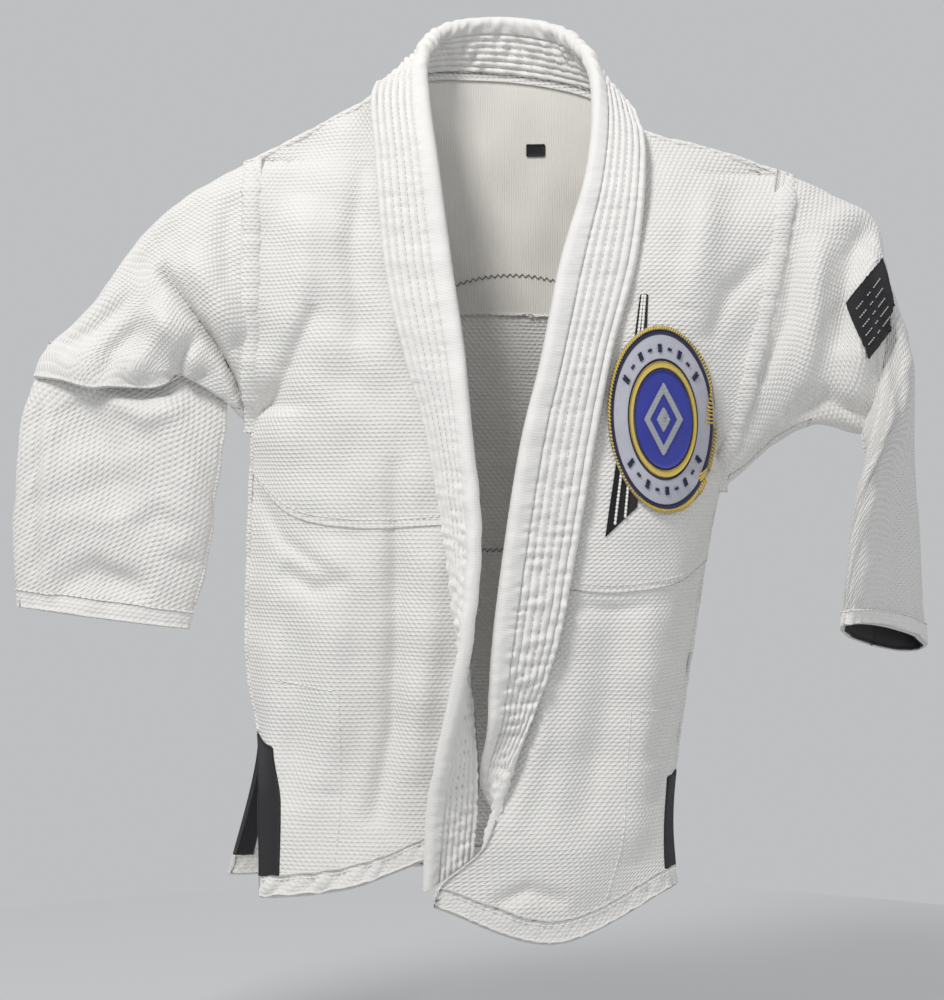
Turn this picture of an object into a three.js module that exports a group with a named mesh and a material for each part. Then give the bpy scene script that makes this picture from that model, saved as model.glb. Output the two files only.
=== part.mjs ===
// A child's jiu-jitsu jacket, hanging open. Millimetres, +Z up, the front faces -Y.
// The origin is the middle of the neck opening, where a hanger carries the jacket.
// Sides are the wearer's: the right front and sleeve lie towards -X.
import * as THREE from "three";

// Driving dimensions.
const WIDTH_SCALE = 1; // sideways size of the whole jacket
const HEIGHT_SCALE = 1; // upright size of the whole jacket
const CLOTH = 2.4; // thickness of the pearl-weave cloth
const OVERLAY = 1.4; // thickness of a layer sewn onto the cloth
const HEM_THICK = 4.4; // a hem is the cloth folded over
const TAPE_THICK = 3.6; // vent tape wrapped round the cloth's edge
const SEAM_GAP = 0.8; // between two panels that a seam joins
const SEAM_PARTING = 0.4 * WIDTH_SCALE ** 2; // a wider jacket's panels meet at a flatter angle
const FRONT_SEAM_Y = -(CLOTH / 2 + SEAM_PARTING); // where a front's cloth meets the side seam
const BACK_SEAM_Y = CLOTH / 2 + SEAM_PARTING - 0.6; // where the back's cloth meets it
const SWING_GAP = 1.8; // above a front that swings, under the chest seam
const LAYER_GAP = 0.6; // between a panel and a layer sewn onto it
const PATCH_GAP = 0.5; // between one layer of a badge and the next
const BAND_THICK = 7; // lapel and collar band, over its stitched cover
const BAND_WALL = 1.5; // the cover's own cloth
const CORE_GAP = 0.7; // between the band's cover and its core
const SLEEVE_WALL = 2.4;
const FLAT_WALL = 1.6; // where the left forearm hangs pressed flat
const CUFF_HEIGHT = 11;
const CUFF_THICK = 1.6; // folded cloth on the outside of the sleeve's end
const LINING_THICK = 1.2; // black twill inside the sleeve's end
const BADGE_CENTRE = [94, -192];
const BADGE_WIDTH = 62; // across, as the folded chest shows it
const BADGE_HEIGHT = 112;
const BADGE_LAYER = 0.9; // each embroidered layer
const LABEL_THICK = 1.2;
const SLEEVE_SIDES = 16; // corners round a sleeve
const BADGE_SIDES = 20; // corners round the badge

const WHITE = { color: 0xf1efea, roughness: 0.9, metalness: 0 };
const LINING_WHITE = { color: 0xe9e4da, roughness: 0.95, metalness: 0 };
const CORE = { color: 0xd9d6cc, roughness: 0.8, metalness: 0 };
const BLACK = { color: 0x17171a, roughness: 0.85, metalness: 0 };
const GOLD = { color: 0xd8b640, roughness: 0.6, metalness: 0 };
const GREY = { color: 0xb9bccb, roughness: 0.7, metalness: 0 };
const BLUE = { color: 0x3b43ae, roughness: 0.6, metalness: 0 };
const SILVER = { color: 0xc9ccd2, roughness: 0.5, metalness: 0 };

const jacket = new THREE.Group();

const point = ([x, y, z]) => new THREE.Vector3(x * WIDTH_SCALE, y, z * HEIGHT_SCALE);

function addMesh(name, geometry, finish) {
  const mesh = new THREE.Mesh(geometry, new THREE.MeshStandardMaterial(finish));
  mesh.name = name;
  jacket.add(mesh);
}

// A closed mesh from points and four-cornered or three-cornered faces.
function closedGeometry(points, faces) {
  const geometry = new THREE.BufferGeometry();
  const index = faces.flatMap(([a, b, c, d]) => (d === undefined ? [a, b, c] : [a, b, c, a, c, d]));
  geometry.setAttribute("position", new THREE.Float32BufferAttribute(points.flatMap((p) => p.toArray()), 3));
  geometry.setIndex(index);
  geometry.computeVertexNormals();
  return geometry;
}

// ---- Cloth panels: a grid of points, of which a panel takes some of the cells ----

// Points along a smooth curve through the given ones, steps[i] of them in its i-th span.
function along(points, steps) {
  const curve = new THREE.CatmullRomCurve3(points, false, "centripetal");
  const out = [];
  steps.forEach((count, span) => {
    for (let i = 0; i < count; i++) out.push(curve.getPoint((span + i / count) / steps.length));
  });
  out.push(points.at(-1).clone());
  return out;
}

// Smooth surface through rows of points: rowSteps cells between rows, columnSteps between columns.
function surface(rows, rowSteps, columnSteps) {
  const across = rows.map((row) => along(row.map(point), columnSteps));
  const columns = across[0].map((_, j) => along(across.map((row) => row[j]), rowSteps));
  return columns[0].map((_, i) => columns.map((column) => column[i]));
}

function gridNormals(grid) {
  const rows = grid.length - 1;
  const columns = grid[0].length - 1;
  return grid.map((row, i) =>
    row.map((_, j) => {
      const down = grid[Math.min(i + 1, rows)][j].clone().sub(grid[Math.max(i - 1, 0)][j]);
      const over = grid[i][Math.min(j + 1, columns)].clone().sub(grid[i][Math.max(j - 1, 0)]);
      return down.cross(over).normalize();
    }),
  );
}

// The cells that keep(i, j) picks, as one closed solid. Its middle surface is lifted along the grid's
// normals. Its edges are drawn in by the inset: first the upper and lower ones, then the side ones.
function panel(grid, keep, thickness, lift = 0, inset = [SEAM_GAP / 2, SEAM_GAP / 2]) {
  const normals = gridNormals(grid);
  const rows = grid.length - 1;
  const columns = grid[0].length - 1;
  const kept = (i, j) => i >= 0 && j >= 0 && i < rows && j < columns && keep(i, j);
  const points = [];
  const faces = [];
  const ids = new Map();
  const corner = (i, j) => {
    const key = i * (columns + 1) + j;
    if (ids.has(key)) return ids.get(key);
    const around = [[i - 1, j - 1], [i - 1, j], [i, j - 1], [i, j]].filter(([a, b]) => kept(a, b));
    const at = grid[i][j].clone();
    if (around.length < 4) at.add(drawnIn(grid, i, j, around, inset));
    const step = normals[i][j];
    points.push(at.clone().addScaledVector(step, lift + thickness / 2));
    points.push(at.clone().addScaledVector(step, lift - thickness / 2));
    ids.set(key, points.length - 2);
    return points.length - 2;
  };
  for (let i = 0; i < rows; i++)
    for (let j = 0; j < columns; j++) {
      if (!kept(i, j)) continue;
      const [a, b, c, d] = [corner(i, j), corner(i + 1, j), corner(i + 1, j + 1), corner(i, j + 1)];
      faces.push([a, b, c, d], [a + 1, d + 1, c + 1, b + 1]);
      if (!kept(i, j - 1)) faces.push([b, a, a + 1, b + 1]);
      if (!kept(i, j + 1)) faces.push([d, c, c + 1, d + 1]);
      if (!kept(i - 1, j)) faces.push([a, d, d + 1, a + 1]);
      if (!kept(i + 1, j)) faces.push([c, b, b + 1, c + 1]);
    }
  return closedGeometry(points, faces);
}

// How far a rim point moves into its own panel.
function drawnIn(grid, i, j, around, [downInset, overInset]) {
  const move = new THREE.Vector3();
  const down = around.some(([a]) => a === i) - around.some(([a]) => a === i - 1);
  const over = around.some(([, b]) => b === j) - around.some(([, b]) => b === j - 1);
  const total = (pick) => Math.sign(around.reduce((sum, cell) => sum + pick(cell) + 0.5, 0));
  const [di, dj] = around.length === 3 ? [total(([a]) => a - i), total(([, b]) => b - j)] : [down, over];
  if (di) move.addScaledVector(grid[i + di][j].clone().sub(grid[i][j]).normalize(), downInset);
  if (dj) move.addScaledVector(grid[i][j + dj].clone().sub(grid[i][j]).normalize(), overInset);
  return move;
}

// ---- Patches sewn onto a panel ----

// The point of a grid's surface that lies at x, z as seen from the front.
function surfaceAt(grid, x, z) {
  for (let i = 0; i + 1 < grid.length; i++)
    for (let j = 0; j + 1 < grid[0].length; j++) {
      const [a, b, c, d] = [grid[i][j], grid[i + 1][j], grid[i + 1][j + 1], grid[i][j + 1]];
      for (const [p, q, r] of [[a, b, c], [a, c, d]]) {
        const area = (q.x - p.x) * (r.z - p.z) - (r.x - p.x) * (q.z - p.z);
        const s = ((x - p.x) * (r.z - p.z) - (r.x - p.x) * (z - p.z)) / area;
        const t = ((q.x - p.x) * (z - p.z) - (x - p.x) * (q.z - p.z)) / area;
        if (s < -1e-6 || t < -1e-6 || s + t > 1 + 1e-6) continue;
        return new THREE.Vector3(x, p.y + s * (q.y - p.y) + t * (r.y - p.y), z);
      }
    }
  throw new Error(`no cloth at ${x}, ${z}`);
}

const onGrid = (grid, [x, z]) => surfaceAt(grid, x * WIDTH_SCALE, z * HEIGHT_SCALE);

// A four-cornered patch: its corners run clockwise from the top left, as seen from the front.
function sewnPatch(grid, [topLeft, topRight, lowRight, lowLeft], cells, thickness, lift) {
  const mix = (a, b, share) => a.map((value, k) => value + (b[k] - value) * share);
  const shares = Array.from({ length: cells + 1 }, (_, k) => k / cells);
  const points = shares.map((down) =>
    shares.map((over) => onGrid(grid, mix(mix(topLeft, topRight, over), mix(lowLeft, lowRight, over), down))),
  );
  return panel(points, () => true, thickness, lift, [0, 0]);
}

// A point of the badge, a share of its radius out and a turn round from the top, lifted off the cloth.
function badgePoint(grid, share, turn, lift) {
  const [x, z] = BADGE_CENTRE;
  const over = (BADGE_WIDTH / 2) * share * Math.sin(turn);
  const up = (BADGE_HEIGHT / 2) * share * Math.cos(turn);
  const step = 4;
  const at = onGrid(grid, [x + over, z + up]);
  const beside = onGrid(grid, [x + over - step * Math.sign(over || 1), z + up]).sub(at);
  const above = onGrid(grid, [x + over, z + up - step * Math.sign(up || 1)]).sub(at);
  const normal = beside.cross(above).normalize();
  return at.addScaledVector(normal, lift * -Math.sign(normal.y));
}

// A round layer of the badge, from one share of its radius to another.
function badgeLayer(grid, inner, outer, lift, rows) {
  const sides = BADGE_SIDES;
  const points = [];
  const faces = [];
  for (let i = 0; i <= rows; i++)
    for (let k = 0; k < sides; k++) {
      const place = [inner + ((outer - inner) * i) / rows, (2 * Math.PI * k) / sides];
      points.push(badgePoint(grid, ...place, lift + BADGE_LAYER / 2));
      points.push(badgePoint(grid, ...place, lift - BADGE_LAYER / 2));
    }
  for (let k = 0; k < sides; k++) {
    const [a, b] = [2 * k, 2 * ((k + 1) % sides)];
    for (let i = 0; i < rows; i++) {
      const [near, far] = [2 * sides * i, 2 * sides * (i + 1)];
      faces.push([near + a, near + b, far + b, far + a]);
      faces.push([near + a + 1, far + a + 1, far + b + 1, near + b + 1]);
    }
    const rim = 2 * sides * rows;
    faces.push([rim + a, rim + b, rim + b + 1, rim + a + 1], [a, a + 1, b + 1, b]);
  }
  const geometry = closedGeometry(points, faces);
  return signedVolume(geometry) < 0 ? closedGeometry(points, faces.map((f) => f.toReversed())) : geometry;
}

// ---- Bands and sleeves: rings of points round a line of sections ----

// A section is two opposite points, the half thickness between them, and which way that lies.
function ring(section, sides, squareness, shrink) {
  const [first, second, half, facing = [0, 1, 0]] = section;
  const start = point(first);
  const end = point(second);
  const middle = start.clone().add(end).multiplyScalar(0.5);
  const wide = start.clone().sub(middle);
  const thin = new THREE.Vector3(...facing);
  thin.addScaledVector(wide, -thin.dot(wide) / wide.lengthSq()).normalize();
  const halfWidth = wide.length() - shrink;
  wide.normalize();
  return Array.from({ length: sides }, (_, k) => {
    const turn = (2 * Math.PI * k) / sides;
    const c = Math.sign(Math.cos(turn)) * Math.abs(Math.cos(turn)) ** squareness;
    const s = Math.sign(Math.sin(turn)) * Math.abs(Math.sin(turn)) ** squareness;
    return middle
      .clone()
      .addScaledVector(wide, c * halfWidth)
      .addScaledVector(thin, s * (half - shrink));
  });
}

function rings(sections, steps, sides, squareness, shrink) {
  const set = sections.map((section) => ring(section, sides, squareness, shrink));
  const lines = set[0].map((_, k) => along(set.map((one) => one[k]), steps));
  return lines[0].map((_, i) => lines.map((line) => line[i]));
}

// Rings joined into a tube that is open at both ends, or into a solid bar when wall is 0.
function tube(sections, steps, { sides = SLEEVE_SIDES, squareness = 1, wall = 0, shrink = 0 }) {
  const outer = rings(sections, steps, sides, squareness, shrink);
  const inner = wall ? rings(sections, steps, sides, squareness, shrink + wall) : [];
  const points = [...outer.flat(), ...inner.flat()];
  const last = outer.length - 1;
  const end = last * sides;
  const base = outer.length * sides;
  const faces = [];
  for (let k = 0; k < sides; k++) {
    const next = (k + 1) % sides;
    for (let a = 0; a < end; a += sides) {
      faces.push([a + k, a + next, a + sides + next, a + sides + k]);
      if (wall) faces.push([base + a + k, base + a + sides + k, base + a + sides + next, base + a + next]);
    }
    if (wall) {
      faces.push([k, base + k, base + next, next]);
      faces.push([end + k, end + next, base + end + next, base + end + k]);
    } else if (k > 0 && k < sides - 1) {
      faces.push([0, k + 1, k], [end, end + k, end + k + 1]);
    }
  }
  const geometry = closedGeometry(points, faces);
  return signedVolume(geometry) < 0 ? closedGeometry(points, faces.map((f) => f.toReversed())) : geometry;
}

function signedVolume(geometry) {
  const at = geometry.getAttribute("position");
  const index = geometry.index.array;
  const corner = (k) => new THREE.Vector3().fromBufferAttribute(at, index[k]);
  let total = 0;
  for (let k = 0; k < index.length; k += 3) total += corner(k).dot(corner(k + 1).cross(corner(k + 2)));
  return total;
}

// ---- Back ----

// Rows from the shoulders and neck down to the hem. The columns run from the right side to the left.
const backRows = [
  [[-151, BACK_SEAM_Y, -46], [-116, 1.5, -21], [-84, 3, -4], [-58, 31.4, 19.4], [0, 45, 23.5],
    [57, 32.4, 9.4], [83, 3, -26], [125, 1.5, -40], [169.4, BACK_SEAM_Y, -60]],
  [[-150.5, 20, -100], [-116, 30, -92], [-86, 36, -88], [-52, 41, -84], [0, 43, -82],
    [54, 41, -86], [86, 36, -92], [120, 30, -100], [158, 21, -104]],
  [[-151, BACK_SEAM_Y, -200], [-122, 24, -202], [-90, 33, -204], [-50, 38, -206], [0, 40, -208],
    [46, 38, -212], [78, 32, -218], [106, 22, -224], [127.6, BACK_SEAM_Y, -234]],
  [[-154, BACK_SEAM_Y, -300], [-124, 24, -300], [-92, 33, -300], [-50, 37, -300], [-6, 39, -300],
    [36, 38, -302], [66, 32, -304], [92, 22, -306], [115, BACK_SEAM_Y, -308]],
  [[-147, 2, -382], [-122, 24, -384], [-92, 32, -386], [-52, 36, -388], [-12, 38, -390],
    [26, 37, -392], [56, 31, -396], [80, 20, -400], [101, 3, -402]],
  [[-165, 27, -457], [-135, 34, -458], [-100, 37, -456], [-60, 38, -454], [-18, 38, -454],
    [20, 37, -455], [52, 32, -455], [80, 20, -453], [99, 4, -450]],
  [[-168, 28, -468], [-136, 35, -469], [-101, 38, -467], [-60, 39, -465], [-18, 39, -465],
    [20, 38, -466], [52, 33, -466], [81, 21, -464], [100, 4, -461]],
];
const backGrid = surface(backRows, [3, 4, 4, 3, 3, 1], [1, 2, 2, 2, 2, 2, 2, 1]);
const backHemRow = backGrid.length - 2;
const backVentRow = backHemRow - 3;
const backLast = backGrid[0].length - 2;
const yokeRows = 4;

function addBack() {
  const isHem = (i) => i === backHemRow;
  const isTape = (i, j) => i >= backVentRow && !isHem(i) && (j === 0 || j === backLast);
  addMesh("back_panel", panel(backGrid, (i, j) => !isHem(i) && !isTape(i, j), CLOTH), WHITE);
  addMesh("back_hem", panel(backGrid, isHem, HEM_THICK), WHITE);
  const onSide = (side) => (i, j) => isTape(i, j) && j === side;
  addMesh("right_vent_tape_back", panel(backGrid, onSide(0), TAPE_THICK), BLACK);
  addMesh("left_vent_tape_back", panel(backGrid, onSide(backLast), TAPE_THICK), BLACK);
  const inside = (CLOTH + OVERLAY) / 2 + LAYER_GAP;
  const isYoke = (i, j) => i < yokeRows && j > 0 && j < backLast;
  addMesh("back_yoke", panel(backGrid, isYoke, OVERLAY, inside, [3, 3]), LINING_WHITE);
  const tagLift = inside + (OVERLAY + LABEL_THICK) / 2 + LAYER_GAP;
  const tag = [[14, -20], [30, -20], [30, -34], [14, -34]];
  addMesh("neck_tag", sewnPatch(backGrid, tag, 2, LABEL_THICK, tagLift), BLACK);
}

// ---- Fronts ----

// Each row has the seam edge, the swing line, the middle and the lapel edge. A front swings open from the
// swing line, and below the vent, where the seam ends, that line is the vent's edge.
const rightUpperRows = [
  [[-151, FRONT_SEAM_Y, -44], [-108, -3, -17], [-94, -4, -9], [-83, -4, -2]],
  [[-150.5, -19, -99], [-118, -27, -84], [-98, -28, -70], [-79, -25, -56]],
  [[-151.5, -20, -150], [-124, -30, -142], [-100, -35, -132], [-72, -37, -120]],
  [[-151, FRONT_SEAM_Y, -198], [-126, -26, -200], [-92, -38, -198], [-51, -45, -196]],
  [[-152, FRONT_SEAM_Y, -220], [-126, -24, -248], [-95, -39, -256], [-40, -49, -254]],
  [[-154, FRONT_SEAM_Y, -285], [-130, -24, -292], [-92, -40, -306], [-36, -50, -305]],
  [[-154, FRONT_SEAM_Y, -340], [-135, -23, -344], [-86, -40, -350], [-27, -49, -350]],
  [[-147, -2.6, -380], [-138, -21, -384], [-84, -41, -392], [-20, -46, -390]],
];
const rightLowerRows = [
  [[-131, -30, -415], [-84, -44, -425], [-20, -45, -412]],
  [[-139, -38, -457], [-88, -49, -451], [-22, -45, -424]],
  [[-140, -39, -468], [-88, -50, -462], [-22, -45, -435]],
];
const leftUpperRows = [
  [[169.4, FRONT_SEAM_Y, -58], [120, -3, -39], [96, -4, -30], [84, -4, -25]],
  [[157.8, -20, -104], [126, -31, -94], [102, -33, -86], [83, -30, -74]],
  [[147.2, -24, -150], [120, -37, -146], [95, -41, -140], [70, -42, -128]],
  [[137.2, -19, -192], [113, -36, -196], [88, -44, -198], [57, -48, -196]],
  [[127.6, FRONT_SEAM_Y, -233], [107, -32, -244], [80, -45, -248], [48, -50, -246]],
  [[119, FRONT_SEAM_Y, -276], [99, -31, -288], [70, -46, -293], [39, -51, -291]],
  [[111, FRONT_SEAM_Y, -330], [96, -28, -334], [64, -47, -338], [30, -53, -336]],
  [[101, -2.6, -400], [93, -20, -402], [54, -48, -398], [8, -55, -392]],
];
const leftLowerRows = [
  [[93, -22, -432], [48, -54, -440], [-4, -66, -436]],
  [[97, -24, -456], [34, -61, -484], [-13, -74, -471]],
  [[99, -24, -467], [31, -62, -496], [-15, -75, -483]],
];
const frontColumns = [4, 2, 7]; // cells between the seam edge, swing line, middle and lapel edge
const swingColumn = frontColumns[0];
const CELLS_A_STATION = 2;
// The swing line goes on below the vent as the vent's edge, where the seam columns close up onto it.
function frontGrid(upper, lower) {
  const closed = lower.map((row) => [row[0], row[0], row[1], row[2]]);
  const ventAt = upper.length - 1;
  const top = surface(upper, Array(ventAt).fill(CELLS_A_STATION), frontColumns);
  const below = surface([upper.at(-1), ...closed], [2, 1, 1], frontColumns);
  return [...top, ...below.slice(1)];
}

// The chest seam runs along one of the rows of stations that the upper front is drawn through.
function addFront(side, grid, chestStation) {
  const hemRow = grid.length - 2;
  const ventRow = hemRow - 3;
  const chestRow = chestStation * CELLS_A_STATION;
  const isTape = (i, j) => i >= ventRow && i < hemRow && j === swingColumn;
  const isFixed = (i, j) => i < chestRow || (j < swingColumn && i < ventRow);
  const isLower = (i, j) => i >= chestRow && i < hemRow && j >= swingColumn && !isTape(i, j);
  const edge = grid[0].length - 2;
  const outward = (side === "right" ? 1 : -1) * ((CLOTH + OVERLAY) / 2 + LAYER_GAP);
  addMesh(side + "_upper_front", panel(grid, isFixed, CLOTH), WHITE);
  addMesh(side + "_lower_front", panel(grid, isLower, CLOTH, 0, [SWING_GAP, SEAM_GAP / 2]), WHITE);
  const isChest = (i, j) => i > 0 && i < chestRow && j > 0 && j < edge;
  addMesh(side + "_chest_reinforcement", panel(grid, isChest, OVERLAY, outward, [SWING_GAP, SEAM_GAP]), WHITE);
  const isPatch = (i, j) => i >= ventRow - 2 && i < hemRow && (j === swingColumn + 1 || j === swingColumn + 2);
  addMesh(side + "_vent_patch", panel(grid, isPatch, OVERLAY, -outward, [1, 1]), WHITE);
  addMesh(side + "_front_hem", panel(grid, (i, j) => i === hemRow && j >= swingColumn, HEM_THICK), WHITE);
  addMesh(side + "_vent_tape_front", panel(grid, isTape, TAPE_THICK), BLACK);
}

// ---- Collar and lapels ----

// Each pair is the rolled edge and the stitched edge of the band, then which way its face looks.
const collarPairs = [
  [[-40, -27, -38], [-77, -24, -38], [0.1, -1, 0]],
  [[-45, -10, 0], [-80, -9, 2], [-0.3, -1, 0.6]],
  [[-46, 4, 30], [-74, 12, 12], [-0.6, -0.4, 0.8]],
  [[-34, 24, 51], [-52, 36, 24], [-0.7, 0.5, 0.4]],
  [[0, 35, 58], [0, 45, 24], [0, 1, 0.2]],
  [[34, 24, 49], [52, 36, 14], [0.7, 0.5, 0.4]],
  [[49, 4, 26], [73, 12, 0], [0.6, -0.4, 0.8]],
  [[51, -12, -6], [82, -10, -22], [0.3, -1, 0.6]],
  [[46, -30, -49], [82, -28, -49], [-0.1, -1, 0]],
];
// The right lapel turns over towards its end, so that its inner face shows.
const rightLapelPairs = [
  [[-40, -27.2, -38 - SEAM_GAP], [-77, -24.2, -38 - SEAM_GAP]],
  [[-31, -42, -106], [-70, -38, -110]],
  [[-24, -53, -155], [-59, -46, -158]],
  [[-20, -66, -205], [-46, -50, -203]],
  [[-16, -78, -262], [-36, -53, -258]],
  [[-23, -86, -320], [-27, -54, -320]],
  [[-36, -80, -372], [-19, -53, -374]],
  [[-45, -70, -415], [-17, -52, -414]],
  [[-48, -62, -463], [-19, -54, -448]],
];
// The left lapel folds in behind its front towards its end.
const leftLapelPairs = [
  [[46, -30.2, -49 - SEAM_GAP], [82, -28.2, -49 - SEAM_GAP]],
  [[31, -44, -101], [76, -40, -100]],
  [[19, -54, -160], [61, -47, -156]],
  [[8, -60, -205], [52, -51, -202]],
  [[-3, -66, -274], [40, -55, -270]],
  [[-9, -70, -326], [29, -57, -324]],
  [[-11, -66, -366], [16, -58, -362]],
  [[-13, -45, -402], [0, -64, -402]],
  [[9, -46, -440], [-14, -62, -440]],
  [[20, -52, -470], [-16, -66, -474]],
];

// A lapel's face looks level, square to the line between its edges.
function lapelSection([roll, stitched], side) {
  const turn = side === "right" ? 1 : -1;
  return [roll, stitched, [turn * (roll[1] - stitched[1]), turn * (stitched[0] - roll[0]), 0]];
}

function addBand(name, pairs) {
  const cover = pairs.map(([roll, stitched, facing]) => [roll, stitched, BAND_THICK / 2, facing]);
  const steps = pairs.slice(1).map(() => 2);
  const shape = { sides: 12, squareness: 0.55 };
  addMesh(name, tube(cover, steps, { ...shape, wall: BAND_WALL }), WHITE);
  addMesh(name + "_core", tube(cover, steps, { ...shape, shrink: BAND_WALL + CORE_GAP }), CORE);
}

// ---- Sleeves ----

// Each section has its two edges and its half depth. Upper sleeves run from the armhole to the elbow fold.
const rightUpperSleeve = [
  [[-151.3, 0, -46], [-154, 0, -190], 21],
  [[-184, -1, -58], [-157, -1, -189], 20],
  [[-215, -2, -81], [-160, -2, -186], 18],
  [[-247, -3, -125], [-163, -3, -180], 16],
  [[-280, -4, -163], [-167, -4, -170], 13],
];
const rightLowerSleeve = [
  [[-280, -4, -163.8], [-167, -4, -170.8], 13],
  [[-287, -5, -184], [-169, -5, -190], 11],
  [[-291, -6, -228], [-174, -6, -240], 13],
  [[-293, -7, -268], [-181, -7, -283], 13],
  [[-289, -8, -303], [-190, -8, -316], 12],
];
const leftUpperSleeve = [
  [[170.4, 0, -60], [130.5, 0, -228], 24],
  [[196, 0, -62], [160, 0, -205], 24],
  [[211, -1, -70], [186, -1, -193], 22],
  [[220, -2, -84], [209, -2, -195], 20],
];
const leftLowerSleeve = [
  [[221, -42, -100], [225, 36, -100], 3.6, [1, 0, 0]],
  [[225, -49, -136], [232, 40, -136], 5, [1, 0, 0]],
  [[212, -54, -205], [238, 42, -205], 8, [1, 0, 0]],
  [[203, -57, -275], [238, 42, -275], 9, [1, 0, 0]],
  [[198, -58, -314], [240, 40, -326], 10, [1, 0, 0]],
];

// A layer sewn onto a sleeve: some cells of its rings, from the first row down and the first corner on.
function addSleeveLayer(name, grid, [firstRow, rows], [firstCorner, corners], thickness, finish) {
  const cut = grid.slice(firstRow, firstRow + rows + 1).map((one) => {
    return Array.from({ length: corners + 1 }, (_, k) => one[(firstCorner + k) % SLEEVE_SIDES]);
  });
  const middle = cut.flat().reduce((sum, p) => sum.add(p), new THREE.Vector3()).divideScalar(cut.flat().length);
  const centre = grid.flat().reduce((sum, p) => sum.add(p), new THREE.Vector3()).divideScalar(grid.flat().length);
  const normal = gridNormals(cut)[1][1];
  const sign = Math.sign(normal.dot(middle.sub(centre)));
  addMesh(name, panel(cut, () => true, thickness, sign * (thickness / 2 + LAYER_GAP), [1, 1]), finish);
}

function addSleeve(side, upper, lower, wall) {
  const upperSteps = upper.slice(1).map(() => 2);
  const upperRings = rings(upper, upperSteps, SLEEVE_SIDES, 1, 0);
  addMesh(side + "_upper_sleeve", tube(upper, upperSteps, { wall: SLEEVE_WALL }), WHITE);
  const underarm = [SLEEVE_SIDES / 2 - 2, 4];
  addSleeveLayer(side + "_underarm_gusset", upperRings, [0, 4], underarm, OVERLAY, WHITE);
  if (side === "left") {
    const outerFace = [(SLEEVE_SIDES * 3) / 4 - 1, 3];
    addSleeveLayer("sleeve_label", upperRings, [upperRings.length - 4, 3], outerFace, LABEL_THICK, BLACK);
  }
  const lowerSteps = lower.slice(1).map(() => 2);
  addMesh(side + "_lower_sleeve", tube(lower, lowerSteps, { wall }), WHITE);
  const end = lower.at(-1);
  const above = lower.at(-2);
  const share = CUFF_HEIGHT / (above[0][2] - end[0][2]);
  const start = end.map((value, k) => {
    if (k > 1) return value;
    return value.map((number, axis) => number + (above[k][axis] - number) * share);
  });
  const drop = (section, down) => section.map((value, k) => (k > 1 ? value : [value[0], value[1], value[2] - down]));
  const cuff = [start, end];
  const cuffShape = { wall: CUFF_THICK, shrink: -CUFF_THICK - LAYER_GAP };
  addMesh(side + "_cuff_hem", tube(cuff, [1], cuffShape), WHITE);
  const liningShape = { wall: LINING_THICK, shrink: wall + LAYER_GAP };
  addMesh(side + "_cuff_lining", tube(cuff.map((section) => drop(section, -0.5)), [1], liningShape), BLACK);
}

// ---- Badge on the left chest ----

function addBadge(grid) {
  const onChest = CLOTH / 2 + LAYER_GAP * 2 + OVERLAY;
  const level = (k) => onChest + BADGE_LAYER / 2 + k * (BADGE_LAYER + PATCH_GAP);
  const under = [[78, -123], [91, -127], [74, -264], [57, -260]];
  addMesh("badge_under_patch", sewnPatch(grid, under, 10, BADGE_LAYER, level(0)), BLACK);
  addMesh("badge_base", badgeLayer(grid, 0.06, 0.96, level(1), 6), GREY);
  addMesh("badge_edge", badgeLayer(grid, 0.9, 1, level(2), 1), GOLD);
  addMesh("badge_ring", badgeLayer(grid, 0.6, 0.87, level(2), 2), GREY);
  addMesh("badge_inner_edge", badgeLayer(grid, 0.52, 0.57, level(2), 1), GOLD);
  addMesh("badge_centre", badgeLayer(grid, 0.04, 0.49, level(2), 3), BLUE);
  const [x, z] = BADGE_CENTRE;
  const motif = [[x - 7, z + 8], [x + 7, z + 8], [x + 7, z - 8], [x - 7, z - 8]];
  addMesh("badge_motif", sewnPatch(grid, motif, 2, BADGE_LAYER, level(3)), SILVER);
}

addBack();
const leftGrid = frontGrid(leftUpperRows, leftLowerRows);
addFront("right", frontGrid(rightUpperRows, rightLowerRows), 4);
addFront("left", leftGrid, 5);
addBadge(leftGrid);
addBand("neck_collar", collarPairs);
addBand("right_lapel", rightLapelPairs.map((pair) => lapelSection(pair, "right")));
addBand("left_lapel", leftLapelPairs.map((pair) => lapelSection(pair, "left")));
addSleeve("right", rightUpperSleeve, rightLowerSleeve, SLEEVE_WALL);
addSleeve("left", leftUpperSleeve, leftLowerSleeve, FLAT_WALL);

export default jacket;
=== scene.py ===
"""A child's jiu-jitsu jacket that hangs open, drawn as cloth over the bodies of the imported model.

Tables are in millimetres, X to the wearer's left, -Y out of the front, +Z up. Everything that is
built from them is in metres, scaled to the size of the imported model.
"""
import math

import bpy
import numpy as np
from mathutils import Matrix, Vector
from mathutils.bvhtree import BVHTree


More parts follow.
